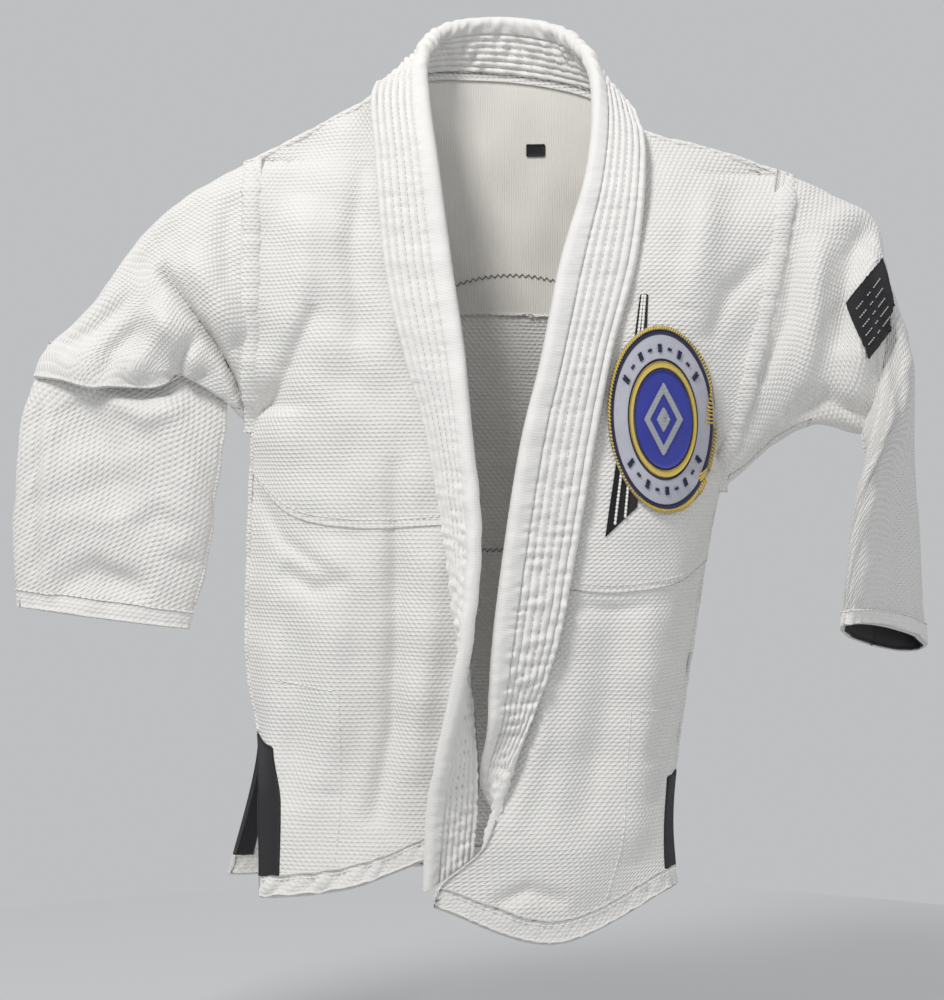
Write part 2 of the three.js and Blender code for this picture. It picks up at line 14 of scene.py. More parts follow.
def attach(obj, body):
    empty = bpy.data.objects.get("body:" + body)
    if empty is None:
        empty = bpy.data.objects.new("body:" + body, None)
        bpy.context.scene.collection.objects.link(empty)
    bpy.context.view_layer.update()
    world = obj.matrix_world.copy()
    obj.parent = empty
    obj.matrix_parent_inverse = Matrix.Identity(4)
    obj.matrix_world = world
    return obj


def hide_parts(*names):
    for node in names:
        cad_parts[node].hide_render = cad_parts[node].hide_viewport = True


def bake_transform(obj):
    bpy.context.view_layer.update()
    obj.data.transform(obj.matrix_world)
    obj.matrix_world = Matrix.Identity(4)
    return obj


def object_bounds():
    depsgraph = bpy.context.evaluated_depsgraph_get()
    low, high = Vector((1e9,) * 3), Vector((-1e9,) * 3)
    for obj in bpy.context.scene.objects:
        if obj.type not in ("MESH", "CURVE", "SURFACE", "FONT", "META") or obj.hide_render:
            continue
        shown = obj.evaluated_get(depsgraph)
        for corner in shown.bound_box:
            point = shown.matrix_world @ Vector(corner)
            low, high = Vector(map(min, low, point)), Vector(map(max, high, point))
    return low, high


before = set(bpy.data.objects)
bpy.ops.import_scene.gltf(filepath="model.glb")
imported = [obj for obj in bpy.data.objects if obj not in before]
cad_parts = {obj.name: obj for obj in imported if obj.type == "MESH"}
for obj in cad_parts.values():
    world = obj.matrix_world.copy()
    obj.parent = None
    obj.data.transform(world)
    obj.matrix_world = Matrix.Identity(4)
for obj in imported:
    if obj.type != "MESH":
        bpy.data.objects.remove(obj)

CAD_BOX = [list(corner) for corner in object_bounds()]
DRAWN_WIDTH = 536.5  # mm, the size that the tables below are drawn at
DRAWN_HEIGHT = 553.7
SCALE = np.array(
    [(CAD_BOX[1][0] - CAD_BOX[0][0]) / DRAWN_WIDTH, 0.001, (CAD_BOX[1][2] - CAD_BOX[0][2]) / DRAWN_HEIGHT]
)
MM = 0.001

CELL = 2.0  # size of a cloth mesh's cells, mm
CLOTH = 2.2  # thickness of the pearl weave, mm
EDGE_SHARE = 0.9  # how far a cloth's round edge stands out, of half its thickness
WEAVE_PITCH = 2.3 * MM  # from one woven row to the next
BAND_THICK = 7.0
STITCH = 3.0  # length of one stitch, mm
STITCH_GAP = 0.8


# ---- Curves and surfaces ----


def along(points, steps):
    """A smooth curve through the points, steps[i] points in its i-th span and then the last point."""
    points = np.asarray(points, float)
    before = 2 * points[0] - points[1]
    after = 2 * points[-1] - points[-2]
    through = np.concatenate([[before], points, [after]])

    def reach(a, b):
        return np.maximum(np.sum((b - a) ** 2, axis=-1, keepdims=True) ** 0.25, 1e-3)

    out = []
    for span, count in enumerate(steps):
        a, b, c, d = through[span : span + 4]
        ab, bc, cd = reach(a, b), reach(b, c), reach(c, d)
        leave = ((b - a) / ab - (c - a) / (ab + bc) + (c - b) / bc) * bc
        arrive = ((c - b) / bc - (d - b) / (bc + cd) + (d - c) / cd) * bc
        for t in np.arange(count) / count:
            out.append(
                (2 * t**3 - 3 * t**2 + 1) * b
                + (t**3 - 2 * t**2 + t) * leave
                + (3 * t**2 - 2 * t**3) * c
                + (t**3 - t**2) * arrive
            )
    out.append(points[-1])
    return np.array(out)


def spans(points, cell):
    """How many cells of about that size each span of these lines takes."""
    lengths = np.linalg.norm(np.diff(points, axis=0), axis=-1)
    return [max(2, round(float(np.mean(length)) / cell)) for length in lengths]


def surface(rows, cell=CELL):
    """A fine grid through rows of points, and which of its rows each given row became."""
    rows = np.asarray(rows, float)
    columns = rows.transpose(1, 0, 2)
    wide = along(columns, spans(columns, cell)).transpose(1, 0, 2)
    steps = spans(rows, cell)
    return along(wide, steps), np.concatenate([[0], np.cumsum(steps)])


def normals(grid, loop=False):
    """Unit normals of a grid, row direction cross column direction."""
    down = np.gradient(grid, axis=0)
    over = (np.roll(grid, -1, 1) - np.roll(grid, 1, 1)) / 2 if loop else np.gradient(grid, axis=1)
    out = np.cross(down, over)
    return out / np.maximum(np.linalg.norm(out, axis=-1, keepdims=True), 1e-9)


def from_line(grid, line):
    """Each point's distance from a line of x, z corners seen from the front, and how far along it is."""
    at = grid[..., [0, 2]]
    line = np.asarray(line, float)
    lengths = np.linalg.norm(np.diff(line, axis=0), axis=1)
    start = np.concatenate([[0], np.cumsum(lengths)]) / lengths.sum()
    best = np.full(grid.shape[:2], 1e6)
    place = np.zeros(grid.shape[:2])
    for k in range(len(lengths)):
        way = line[k + 1] - line[k]
        share = np.clip(((at - line[k]) @ way) / (way @ way), 0, 1)
        far = np.linalg.norm(at - line[k] - share[..., None] * way, axis=-1)
        nearer = far < best
        best[nearer] = far[nearer]
        place[nearer] = (start[k] + share * (start[k + 1] - start[k]))[nearer]
    return best, place


def creased(grid, creases, weight=1.0):
    """The grid with soft folds: each is a line of x, z corners, a width, and a depth towards the back."""
    out = grid.copy()
    for line, width, depth in creases:
        far, place = from_line(grid, line)
        fade = np.clip(5 * place * (1 - place), 0, 1) ** 0.6
        out[..., 1] += depth * fade * np.exp(-((far / width) ** 2)) * weight
    return out


def waves(u, v, size, seed, count=9):
    """Smooth uneven waves between about -1 and 1, of about that size in both directions."""
    chance = np.random.default_rng(seed)
    total = 0
    for _ in range(count):
        turn = chance.uniform(0, 2 * math.pi)
        length = size * chance.uniform(0.7, 1.6)
        phase = chance.uniform(0, 2 * math.pi)
        total = total + np.sin(2 * math.pi * (u * math.cos(turn) + v * math.sin(turn)) / length + phase)
    return total / math.sqrt(count)


def lengths_along(grid, axis):
    """How far each point is from the grid's first row or column, along the cloth."""
    steps = np.linalg.norm(np.diff(grid, axis=axis), axis=-1)
    zero = np.zeros_like(np.take(steps, [0], axis=axis))
    return np.concatenate([zero, np.cumsum(steps, axis=axis)], axis=axis)


def cloth_uv(grid):
    """Flat places on the cloth in millimetres: along its rows of weave, and up."""
    middle = grid.shape[1] // 2
    over = lengths_along(grid, 1)
    u = over - over[:, [middle]] + grid[:, [middle], 0]
    return np.stack([u, grid[..., 2]], axis=-1)


def sleeve_uv(grid, turn=0.0):
    """Flat places on a sleeve's cloth, round it and down it, turned by an angle."""
    u = lengths_along(grid, 1)
    v = -lengths_along(grid, 0)
    c, s = math.cos(turn), math.sin(turn)
    return np.stack([c * u - s * v, s * u + c * v], axis=-1)


# ---- Meshes ----


def mesh_piece(name, points, faces, uv, material, flat_faces=0):
    """A mesh object from points in millimetres; the last flat_faces faces aren't smooth."""
    mesh = bpy.data.meshes.new(name)
    mesh.from_pydata((np.asarray(points) * SCALE).tolist(), [], [list(map(int, face)) for face in faces])
    layer = mesh.uv_layers.new(name="cloth")
    corners = np.empty(len(mesh.loops), dtype=np.int32)
    mesh.loops.foreach_get("vertex_index", corners)
    layer.data.foreach_set("uv", (np.asarray(uv, float)[corners] * MM).ravel())
    smooth = np.ones(len(mesh.polygons), dtype=bool)
    if flat_faces:
        smooth[-flat_faces:] = False
    mesh.polygons.foreach_set("use_smooth", smooth)
    mesh.materials.append(material)
    mesh.validate()
    piece = bpy.data.objects.new(name, mesh)
    bpy.context.scene.collection.objects.link(piece)
    return piece


def quads(rows, columns, start=0, loop=False):
    """Faces of a grid of points numbered row by row from start."""
    i, j = np.meshgrid(np.arange(rows - 1), np.arange(columns if loop else columns - 1), indexing="ij")
    after = (j + 1) % columns
    return np.stack(
        [start + i * columns + j, start + (i + 1) * columns + j, start + (i + 1) * columns + after,
         start + i * columns + after], axis=-1
    ).reshape(-1, 4)


def facing_out(points, faces):
    """The faces, turned over if they enclose their solid inside out."""
    a, b, c = points[faces[:, 0]], points[faces[:, 1]], points[faces[:, 2]]
    d = points[faces[:, 3]]
    volume = np.einsum("ij,ij->", a, np.cross(b, c)) + np.einsum("ij,ij->", a, np.cross(c, d))
    return faces if volume > 0 else faces[:, ::-1]


def sheet_piece(name, grid, thickness, material, lift=0.0, uv=None, loop=False):
    """A closed solid of cloth about a grid, with round edges. Lift moves it along the grid's normals."""
    across = normals(grid, loop)
    uv = cloth_uv(grid) if uv is None else uv
    middle = grid + across * lift
    rows, columns = grid.shape[:2]
    half = thickness / 2
    sides = [middle + across * half, middle - across * half]
    points = [side.reshape(-1, 3) for side in sides]
    count = rows * columns
    top = quads(rows, columns, 0, loop)
    faces = [top, quads(rows, columns, count, loop)[:, ::-1]]
    ring = rim_of(rows, columns, loop)
    base = 2 * count
    uvs = [uv.reshape(-1, 2), uv.reshape(-1, 2)]
    inward = {0: (1, 0), 1: (0, -1), 2: (-1, 0), 3: (0, 1)}
    for line, edge in ring:
        di, dj = inward[edge]
        i, j = line[:, 0], line[:, 1]
        inner = middle[np.clip(i + di, 0, rows - 1), np.clip(j + dj, 0, columns - 1)]
        out = middle[i, j] - inner
        out /= np.maximum(np.linalg.norm(out, axis=-1, keepdims=True), 1e-9)
        points.append(middle[i, j] + out * half * EDGE_SHARE)
        uvs.append(uv[i, j])
    points = np.concatenate(points)
    uvs = np.concatenate(uvs)
    for line, edge in ring:
        n = len(line)
        flat = line[:, 0] * columns + line[:, 1]
        k = np.arange(n if loop else n - 1)
        nxt = (k + 1) % n
        rim = base + k
        rim_next = base + nxt
        faces.append(np.stack([flat[nxt], flat[k], rim, rim_next], axis=-1))
        faces.append(np.stack([flat[k] + count, flat[nxt] + count, rim_next, rim], axis=-1))
        base += n
    if not loop:
        faces.append(rim_corners(ring, rows, columns, count))
    faces = facing_out(points, np.concatenate(faces))
    return mesh_piece(name, points, faces, uvs, material)


def rim_of(rows, columns, loop):
    """The edges of a grid, going round it: top, right, bottom, left, or just the two ends of a loop."""
    i, j = np.arange(rows), np.arange(columns)
    top = np.stack([0 * j, j], axis=-1)
    bottom = np.stack([0 * j + rows - 1, j[::-1]], axis=-1)
    if loop:
        return [(top, 0), (bottom, 2)]
    right = np.stack([i, 0 * i + columns - 1], axis=-1)
    left = np.stack([i[::-1], 0 * i], axis=-1)
    return [(top, 0), (right, 1), (bottom, 2), (left, 3)]


def rim_corners(ring, rows, columns, count):
    """Small faces that close the four corners between the rims of two edges."""
    faces = []
    starts = np.concatenate([[0], np.cumsum([len(line) for line, _ in ring])]) + 2 * count
    for k, (line, _) in enumerate(ring):
        corner = line[-1][0] * columns + line[-1][1]
        end = starts[k] + len(line) - 1
        following = starts[(k + 1) % 4]
        faces.append([corner, following, end, end])
        faces.append([corner + count, end, following, following])
    return np.array(faces)


def bar_piece(name, ring_grid, uv, material, shading=None):
    """A solid bar through rings of points, with a flat cap at each end, shaded by normals if given."""
    rows, columns = ring_grid.shape[:2]
    points = ring_grid.reshape(-1, 3)
    faces = facing_out(points, quads(rows, columns, 0, True))
    turned = not np.array_equal(faces, quads(rows, columns, 0, True))
    first = list(range(columns))
    last = [(rows - 1) * columns + k for k in range(columns)]
    caps = [first[::-1], last] if turned else [first, last[::-1]]
    piece = mesh_piece(name, points, list(faces) + caps, uv, material, flat_faces=2)
    if shading is not None:
        piece.data.normals_split_custom_set_from_vertices(shading.reshape(-1, 3).tolist())
    return piece


def tube_along(path, radii, sides=6, up=(0, -1, 0), closed=False):
    """Rings of an oval tube along a path; radii are its half width and its half height along up."""
    path = np.asarray(path, float)
    way = np.gradient(path, axis=0)
    if closed:
        way = np.roll(path, -1, 0) - np.roll(path, 1, 0)
    way /= np.maximum(np.linalg.norm(way, axis=-1, keepdims=True), 1e-9)
    up = np.broadcast_to(np.asarray(up, float), path.shape)
    side = np.cross(way, up)
    side /= np.maximum(np.linalg.norm(side, axis=-1, keepdims=True), 1e-9)
    high = np.cross(side, way)
    turn = 2 * np.pi * np.arange(sides) / sides
    wide, tall = radii
    wide = np.broadcast_to(np.asarray(wide, float), (len(path),))[:, None, None]
    tall = np.broadcast_to(np.asarray(tall, float), (len(path),))[:, None, None]
    over = wide * np.cos(turn)[:, None] * side[:, None]
    out = tall * np.sin(turn)[:, None] * high[:, None]
    return path[:, None] + over + out


def spaced(path, step):
    """Points along a path that many millimetres apart."""
    path = np.asarray(path, float)
    far = np.concatenate([[0], np.cumsum(np.linalg.norm(np.diff(path, axis=0), axis=1))])
    places = np.arange(0, far[-1], step)
    return np.stack([np.interp(places, far, path[:, k]) for k in range(3)], axis=-1)


def tubes(name, all_rings, material):
    """Thin solid tubes, each given as its rings, as one mesh."""
    points, faces, start = [], [], 0
    for rings in all_rings:
        count, sides = rings.shape[:2]
        points.append(rings.reshape(-1, 3))
        faces.extend(quads(count, sides, start, True)[:, ::-1].tolist())
        faces.append([start + k for k in range(sides)][::-1])
        faces.append([start + (count - 1) * sides + k for k in range(sides)])
        start += count * sides
    points = np.concatenate(points)
    return mesh_piece(name, points, faces, points[:, [0, 2]], material)


def stitches(name, paths, material, length=STITCH, gap=STITCH_GAP, radius=0.36, up=(0, -1, 0)):
    """Short rounded threads laid end to end along each path, as one mesh."""
    threads_laid = []
    shares = np.array([0, 0.12, 0.5, 0.88, 1])
    swell = np.array([0.25, 0.85, 1.0, 0.85, 0.25])
    for path in paths:
        marks = spaced(path, length + gap)
        for a, b in zip(marks[:-1], marks[1:]):
            tip = a + (b - a) * length / (length + gap)
            line = a + (tip - a) * shares[:, None]
            line[:, 1] -= radius * 0.5 * np.sin(np.pi * shares)
            threads_laid.append(tube_along(line, (radius * swell, radius * swell), up=up))
    return tubes(name, threads_laid, material)


def ridge(name, path, width, height, material, up=None):
    """A felled seam: a low rounded ridge along a path, lying flat in X unless up is given."""
    path = spaced(path, 1.6)
    if up is None:
        up = np.cross(np.gradient(path, axis=0), (1.0, 0, 0))
    lumps = 1 + 0.12 * waves(np.arange(len(path)) * 1.6, 0, 9, 5)
    rings = tube_along(path, (width / 2 * lumps, height * lumps), 10, up)
    return bar_piece(name, rings, rings[..., [0, 2]].reshape(-1, 2), material)


class Skin:
    """A piece's outer surface, to lay other pieces on: asked from the front, at x and z."""

    def __init__(self, piece, from_y=-400.0):
        mesh = piece.data
        points = [vertex.co.copy() for vertex in mesh.vertices]
        self.tree = BVHTree.FromPolygons(points, [list(face.vertices) for face in mesh.polygons])
        self.from_y = from_y

    def at(self, x, z, lift=0.0):
        """The point of the surface there and its normal, in millimetres of the tables."""
        start = Vector((x * SCALE[0], self.from_y * MM, z * SCALE[2]))
        place, normal, _, _ = self.tree.ray_cast(start, Vector((0, -math.copysign(1, self.from_y), 0)))
        if place is None:
            place, normal, _, _ = self.tree.find_nearest(Vector((x * SCALE[0], -0.04, z * SCALE[2])))
        if normal.y * self.from_y < 0:
            normal = -normal
        return np.array(place) / SCALE + np.array(normal) * lift, np.array(normal)

    def lay(self, line, lift=0.3):
        """The line of x, z places laid on the surface."""
        return np.array([self.at(x, z, lift)[0] for x, z in line])


def between(corners, step=1.5):
    """Points every step along straight lines through x, z corners."""
    corners = np.array([[x, 0, z] for x, z in corners], float)
    return spaced(corners, step)[:, [0, 2]]


# ---- Materials ----


class Paint:
    """One Principled material and short ways to wire its nodes."""

    def __init__(self, name, color, roughness=0.9):
        self.material = bpy.data.materials.new(name)
        self.material.use_nodes = True
        self.nodes = self.material.node_tree.nodes
        self.links = self.material.node_tree.links
        self.shader = self.nodes["Principled BSDF"]
        self.shader.inputs["Base Color"].default_value = (*color, 1)
        self.shader.inputs["Roughness"].default_value = roughness
        uv = self.nodes.new("ShaderNodeUVMap")
        uv.uv_map = "cloth"
        split = self.nodes.new("ShaderNodeSeparateXYZ")
        self.links.new(uv.outputs["UV"], split.inputs[0])
        self.uv = uv.outputs["UV"]
        self.u, self.v = split.outputs["X"], split.outputs["Y"]

    def math(self, operation, *values):
        node = self.nodes.new("ShaderNodeMath")
        node.operation = operation
        for socket, value in zip(node.inputs, values):
            if isinstance(value, (int, float)):
                socket.default_value = value
            else:
                self.links.new(value, socket)
        return node.outputs[0]

    def noise(self, size, detail=3.0):
        """Cloudy noise of about that size in millimetres, over the cloth."""
        node = self.nodes.new("ShaderNodeTexNoise")
        self.links.new(self.uv, node.inputs["Vector"])
        node.inputs["Scale"].default_value = 1000 / size
        node.inputs["Detail"].default_value = detail
        return node.outputs["Fac"]

    def turned(self, turn):
        """The cloth's own directions, turned by an angle."""
        c, s = math.cos(turn), math.sin(turn)
        u = self.math("ADD", self.math("MULTIPLY", self.u, c), self.math("MULTIPLY", self.v, s))
        v = self.math("ADD", self.math("MULTIPLY", self.v, c), self.math("MULTIPLY", self.u, -s))
        return u, v

    def color(self, share, low, high):
        mix = self.nodes.new("ShaderNodeMix")
        mix.data_type = "RGBA"
        self.links.new(share, mix.inputs["Factor"])
        mix.inputs[6].default_value = (*low, 1)
        mix.inputs[7].default_value = (*high, 1)
        self.links.new(mix.outputs[2], self.shader.inputs["Base Color"])

    def bump(self, height, depth, strength=1.0):
        node = self.nodes.new("ShaderNodeBump")
        node.inputs["Strength"].default_value = strength
        node.inputs["Distance"].default_value = depth * MM
        self.links.new(height, node.inputs["Height"])
        self.links.new(node.outputs["Normal"], self.shader.inputs["Normal"])

    def sheen(self, weight, roughness=0.5):
        self.shader.inputs["Sheen Weight"].default_value = weight
        self.shader.inputs["Sheen Roughness"].default_value = roughness


def pearl_weave(name, high, low, turn=0.0, depth=0.6, pitch=WEAVE_PITCH, grain=3.6 * MM):
    """Rows of staggered raised grains."""
    paint = Paint(name, high)
    u, v = paint.turned(turn)
    wobble = paint.math("MULTIPLY", paint.noise(14), 0.9 * MM)
    rows = paint.math("DIVIDE", paint.math("ADD", v, wobble), pitch)
    row = paint.math("FLOOR", rows)
    across = paint.math("SUBTRACT", rows, row)
    ridge_height = paint.math("SINE", paint.math("MULTIPLY", across, math.pi))
    slant = paint.math("ADD", paint.math("MULTIPLY", row, 0.5), paint.math("MULTIPLY", across, 0.35))
    place = paint.math("ADD", paint.math("DIVIDE", u, grain), slant)
    grains = paint.math("COSINE", paint.math("MULTIPLY", place, 2 * math.pi))
    grains = paint.math("ADD", paint.math("MULTIPLY", grains, 0.42), 0.58)
    height = paint.math("MULTIPLY", ridge_height, grains)
    fuzz = paint.math("MULTIPLY", paint.noise(0.5, 2.0), 0.22)
    full = paint.math("ADD", height, fuzz)
    paint.bump(full, depth)
    # The colour is painted darker where the weave is low, as painted shade in the gaps between grains, and
    # also varies in random blotches of tone.
    blotches = paint.math("MULTIPLY", paint.noise(30), 0.45)
    shade = paint.math("ADD", paint.math("MULTIPLY", full, 0.55), blotches)
    paint.color(shade, low, high)
    paint.sheen(0.15)
    return paint.material


def plain_cotton(name, high, low, ribs=None, depth=0.12):
    """Smooth close-woven cotton, with fine ribs across it if asked."""
    paint = Paint(name, high)
    fine = paint.noise(0.7, 4.0)
    if ribs:
        u, _ = paint.turned(ribs[1])
        rib = paint.math("SINE", paint.math("MULTIPLY", u, 2 * math.pi / (ribs[0] * MM)))
        fine = paint.math("ADD", paint.math("MULTIPLY", rib, 0.5), fine)
    paint.bump(fine, depth)
    paint.color(paint.math("ADD", paint.math("MULTIPLY", paint.noise(18), 0.6), 0.3), low, high)
    paint.sheen(0.12)
    return paint.material


def twill(name, high, low, pitch=0.9, turn=0.8, depth=0.25, roughness=0.85):
    """Diagonal ribs, for tape, labels and embroidery."""
    paint = Paint(name, high, roughness)
    u, _ = paint.turned(turn)
    rib = paint.math("SINE", paint.math("MULTIPLY", u, 2 * math.pi / (pitch * MM)))
    height = paint.math("ADD", paint.math("MULTIPLY", rib, 0.5), paint.noise(0.6, 3.0))
    paint.bump(height, depth)
    # The colour is darker in the ribs' hollows, as painted shade.
    paint.color(paint.math("ADD", paint.math("MULTIPLY", rib, 0.3), 0.5), low, high)
    paint.sheen(0.08)
    return paint.material


WHITE, WHITE_LOW = (0.90, 0.89, 0.87), (0.76, 0.75, 0.72)
INSIDE, INSIDE_LOW = (0.84, 0.82, 0.78), (0.74, 0.71, 0.66)
BODY_WEAVE = pearl_weave("pearl_weave", WHITE, WHITE_LOW)
SLEEVE_WEAVE = pearl_weave("sleeve_pearl_weave", WHITE, WHITE_LOW)
FOREARM_WEAVE = pearl_weave(
    "forearm_pearl_weave", WHITE, WHITE_LOW, depth=0.75, pitch=2.8 * MM, grain=4.4 * MM
)
HEM_CLOTH = pearl_weave("hem_cloth", WHITE, WHITE_LOW, depth=0.3)
BAND_CLOTH = plain_cotton("band_cotton", (0.91, 0.90, 0.88), (0.82, 0.81, 0.79), ribs=(0.9, math.pi / 2))
YOKE_CLOTH = plain_cotton("yoke_cotton", INSIDE, INSIDE_LOW, ribs=(1.5, 0.0), depth=0.14)
THREAD = plain_cotton("white_thread", (0.92, 0.91, 0.89), (0.84, 0.83, 0.81))
# White thread painted grey: the grey is painted shade for the stitched grooves the band's threads lie in.
GROOVE_SHADOW_THREAD = plain_cotton("groove_shadow_thread", (0.66, 0.65, 0.63), (0.56, 0.55, 0.53))
DARK_THREAD = plain_cotton("dark_thread", (0.10, 0.10, 0.11), (0.05, 0.05, 0.06))
TAPE = twill("black_tape", (0.028, 0.028, 0.032), (0.010, 0.010, 0.012))
LABEL = twill("black_label", (0.02, 0.02, 0.024), (0.008, 0.008, 0.01), pitch=0.6)
PRINT = twill("label_print", (0.72, 0.72, 0.72), (0.55, 0.55, 0.55), pitch=0.5)
BADGE_GREY = twill("badge_grey_twill", (0.68, 0.69, 0.77), (0.52, 0.53, 0.61), pitch=0.8, roughness=0.7)
BADGE_NAVY = twill("badge_navy", (0.03, 0.035, 0.12), (0.012, 0.014, 0.05), pitch=0.7, roughness=0.6)
BADGE_BLUE = twill("badge_blue", (0.055, 0.075, 0.52), (0.03, 0.04, 0.33), pitch=0.8, turn=0.2, roughness=0.5)
BADGE_GOLD = twill("badge_gold", (0.86, 0.66, 0.15), (0.62, 0.43, 0.08), pitch=0.9, turn=1.2, roughness=0.5)
BADGE_SILVER = twill("badge_silver", (0.66, 0.68, 0.72), (0.45, 0.47, 0.52), pitch=0.6, roughness=0.45)


# ---- Where things move ----

# Each body's carrier, and the direction along which its cloth passes from the carrier to the body, with
# how far along it, in millimetres, that starts and ends.
BENDS = {
    "right_front": ("coat_body", (0.95, 0, -0.31), -20, 90),
    "left_front": ("coat_body", (-0.98, 0, -0.20), -15, 95),
    "right_sleeve": ("coat_body", (-1, 0, 0), 150, 180),
    "left_sleeve": ("coat_body", (0.98, 0, 0.2), 140, 175),
    "right_forearm": ("right_sleeve", (0, 0, -1), 158, 182),
    "left_forearm": ("left_sleeve", (0.99, -0.6, -0.138), 211, 221),
}


def bend(piece, body, slot, *nodes):
    """The piece's transform is baked into its mesh, and it is shown for these nodes."""
    carrier, way, start, end = BENDS[body]
    way = np.array(way) / np.linalg.norm(way)
    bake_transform(piece)
    if nodes:
        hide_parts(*nodes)


def fixed(piece, body, slot, *nodes):
    """The piece moves with one body, and is shown for these nodes."""
    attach(piece, body)
    if nodes:
        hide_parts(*nodes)


# ---- Back ----

BACK_ROWS = [
    [(-151, 0, -38), (-116, 1, -19), (-84, 2, -3), (-58, 31, 20), (0, 45, 24), (57, 32, 10), (83, 2, -21),
     (125, 1, -32), (169, 0, -46)],
    [(-150, 20, -100), (-116, 30, -92), (-86, 36, -88), (-52, 41, -84), (0, 43, -82), (54, 41, -86),
     (86, 36, -92), (120, 30, -100), (158, 21, -104)],
    [(-151, 0, -200), (-122, 24, -202), (-90, 33, -204), (-50, 38, -206), (0, 40, -208), (46, 38, -212),
     (78, 32, -218), (106, 22, -224), (127, 0, -234)],
    [(-154, 0, -300), (-124, 24, -300), (-92, 33, -300), (-50, 37, -300), (-6, 39, -300), (36, 38, -302),
     (66, 32, -304), (92, 22, -306), (115, 0, -308)],
    [(-147, 1, -382), (-122, 24, -384), (-92, 32, -386), (-52, 36, -388), (-12, 38, -390), (26, 37, -392),
     (56, 31, -396), (80, 20, -400), (101, 1, -402)],
    [(-165, 27, -457), (-135, 34, -458), (-100, 37, -456), (-60, 38, -454), (-18, 38, -454), (20, 37, -455),
     (52, 32, -455), (80, 20, -453), (99, 4, -450)],
    [(-168, 28, -468), (-136, 35, -469), (-101, 38, -467), (-60, 39, -465), (-18, 39, -465), (20, 38, -466),
     (52, 33, -466), (81, 21, -464), (100, 4, -461)],
]
BACK_CREASES = [
    ([(-70, -150), (-60, -250), (-66, -340)], 16, 4),
    ([(30, -130), (22, -240), (34, -380)], 18, 5),
    ([(-20, -210), (-26, -300), (-14, -440)], 14, -4),
    ([(80, -150), (72, -260), (70, -420)], 15, 4),
    ([(-110, -190), (-105, -300), (-112, -440)], 14, 4),
    ([(-140, -120), (-80, -150), (-30, -160)], 12, 3),
    ([(140, -130), (90, -160), (50, -168)], 12, 3),
]
BACK_VENT_MARK, BACK_HEM_MARK = 4, 5  # the rows of the table where the vents and the hem start
BACK_FOLDS = 1.7  # how many times deeper the back's creases are than their table says
FRONT_FOLDS = 1.45
SLEEVE_FOLDS = 1.3
YOKE_Z = -128  # the yoke's lower edge
ZIGZAG_STEP = 1.9
TAPE_CELLS = 6  # width of the vents' back tapes, in cells
TAPE_WIDTH = 11.5  # width of their front tapes


def strip_of(grid, rows, columns):
    """The part of a grid from the first to the last of these rows and columns."""
    return grid[rows[0] : rows[1] + 1, columns[0] : columns[1] + 1]


def puckered(grid, size, depth, seed):
    """A hem's cloth, drawn up by its stitching into small slanting waves."""
    out = grid.copy()
    along_hem = lengths_along(grid, 1)
    rows = np.linspace(0, 1, grid.shape[0])[:, None]
    swell = waves(along_hem + 5 * rows, rows * size * 0.3, size, seed)
    out += normals(grid) * (depth * swell * np.sin(np.pi * np.clip(rows, 0.05, 0.95)))[..., None]
    return out


def make_back():
    """The back and all that is sewn to it; gives its grid."""
    grid, marks = surface(BACK_ROWS)
    grid = rounded_to_armhole(grid, 0, "right", False)
    grid = rounded_to_armhole(grid, -1, "left", False)
    grid = creased(grid, BACK_CREASES, BACK_FOLDS)
    grid[..., 1] += 0.6 * waves(grid[..., 0], grid[..., 2], 38, 3)
    vent, hem = marks[BACK_VENT_MARK], marks[BACK_HEM_MARK]
    last = grid.shape[1] - 1
    back = sheet_piece("back_panel_cloth", grid[: hem + 1], CLOTH, BODY_WEAVE)
    fixed(back, "coat_body", "white_cloth", "back_panel")
    hem_cloth = sheet_piece("back_hem_cloth", puckered(grid[hem:], 8, 0.5, 11), 4.0, HEM_CLOTH)
    fixed(hem_cloth, "coat_body", "white_cloth", "back_hem")
    for side, columns in (("right", (0, TAPE_CELLS)), ("left", (last - TAPE_CELLS, last))):
        tape = sheet_piece(f"{side}_vent_back_tape", strip_of(grid, (vent, hem), columns), 3.6, TAPE)
        fixed(tape, "coat_body", "black_twill", f"{side}_vent_tape_back")
    skin = Skin(back)
    yoke_rows = int(np.argmin(np.abs(grid[:, last // 2, 2] - YOKE_Z)))
    inside = grid[2:yoke_rows, 6 : last - 5]
    yoke = sheet_piece("back_yoke_cloth", inside, 1.2, YOKE_CLOTH, lift=inside_lift(grid, 2.0))
    fixed(yoke, "coat_body", "lining_cloth", "back_yoke")
    yoke_skin = Skin(yoke)
    high = zigzag(yoke_skin, (-44, 62), lambda x: -101 - 0.005 * (x - 5) ** 2, 1.0, 0.5)
    low = zigzag(skin, (-26, 4), lambda x: -271, 1.1, 0.6)
    dark = threads("yoke_zigzag", [high, low], DARK_THREAD)
    fixed(dark, "coat_body", "black_twill")
    edge = yoke_skin.lay(between([(-60, YOKE_Z + 4), (0, YOKE_Z + 1), (62, YOKE_Z + 3)]), 0.4)
    seam = stitches("yoke_seam", [edge], THREAD)
    fixed(seam, "coat_body", "white_cloth")
    tag_corners = [(14, -20), (25, -20), (25, -27), (14, -27)]
    tag = label_patch("neck_tag_cloth", yoke_skin, tag_corners, LABEL, 0.9, 1.0)
    fixed(tag, "coat_body", "label_cloth", "neck_tag")
    hem_run = between([(-160, -459), (-60, -457), (40, -457), (96, -453)])
    hem_line = Skin(hem_cloth, from_y=400.0).lay(hem_run, 0.3)
    hem_seam = stitches("back_hem_seam", [hem_line], THREAD, up=(0, 1, 0))
    fixed(hem_seam, "coat_body", "white_cloth")
    return grid


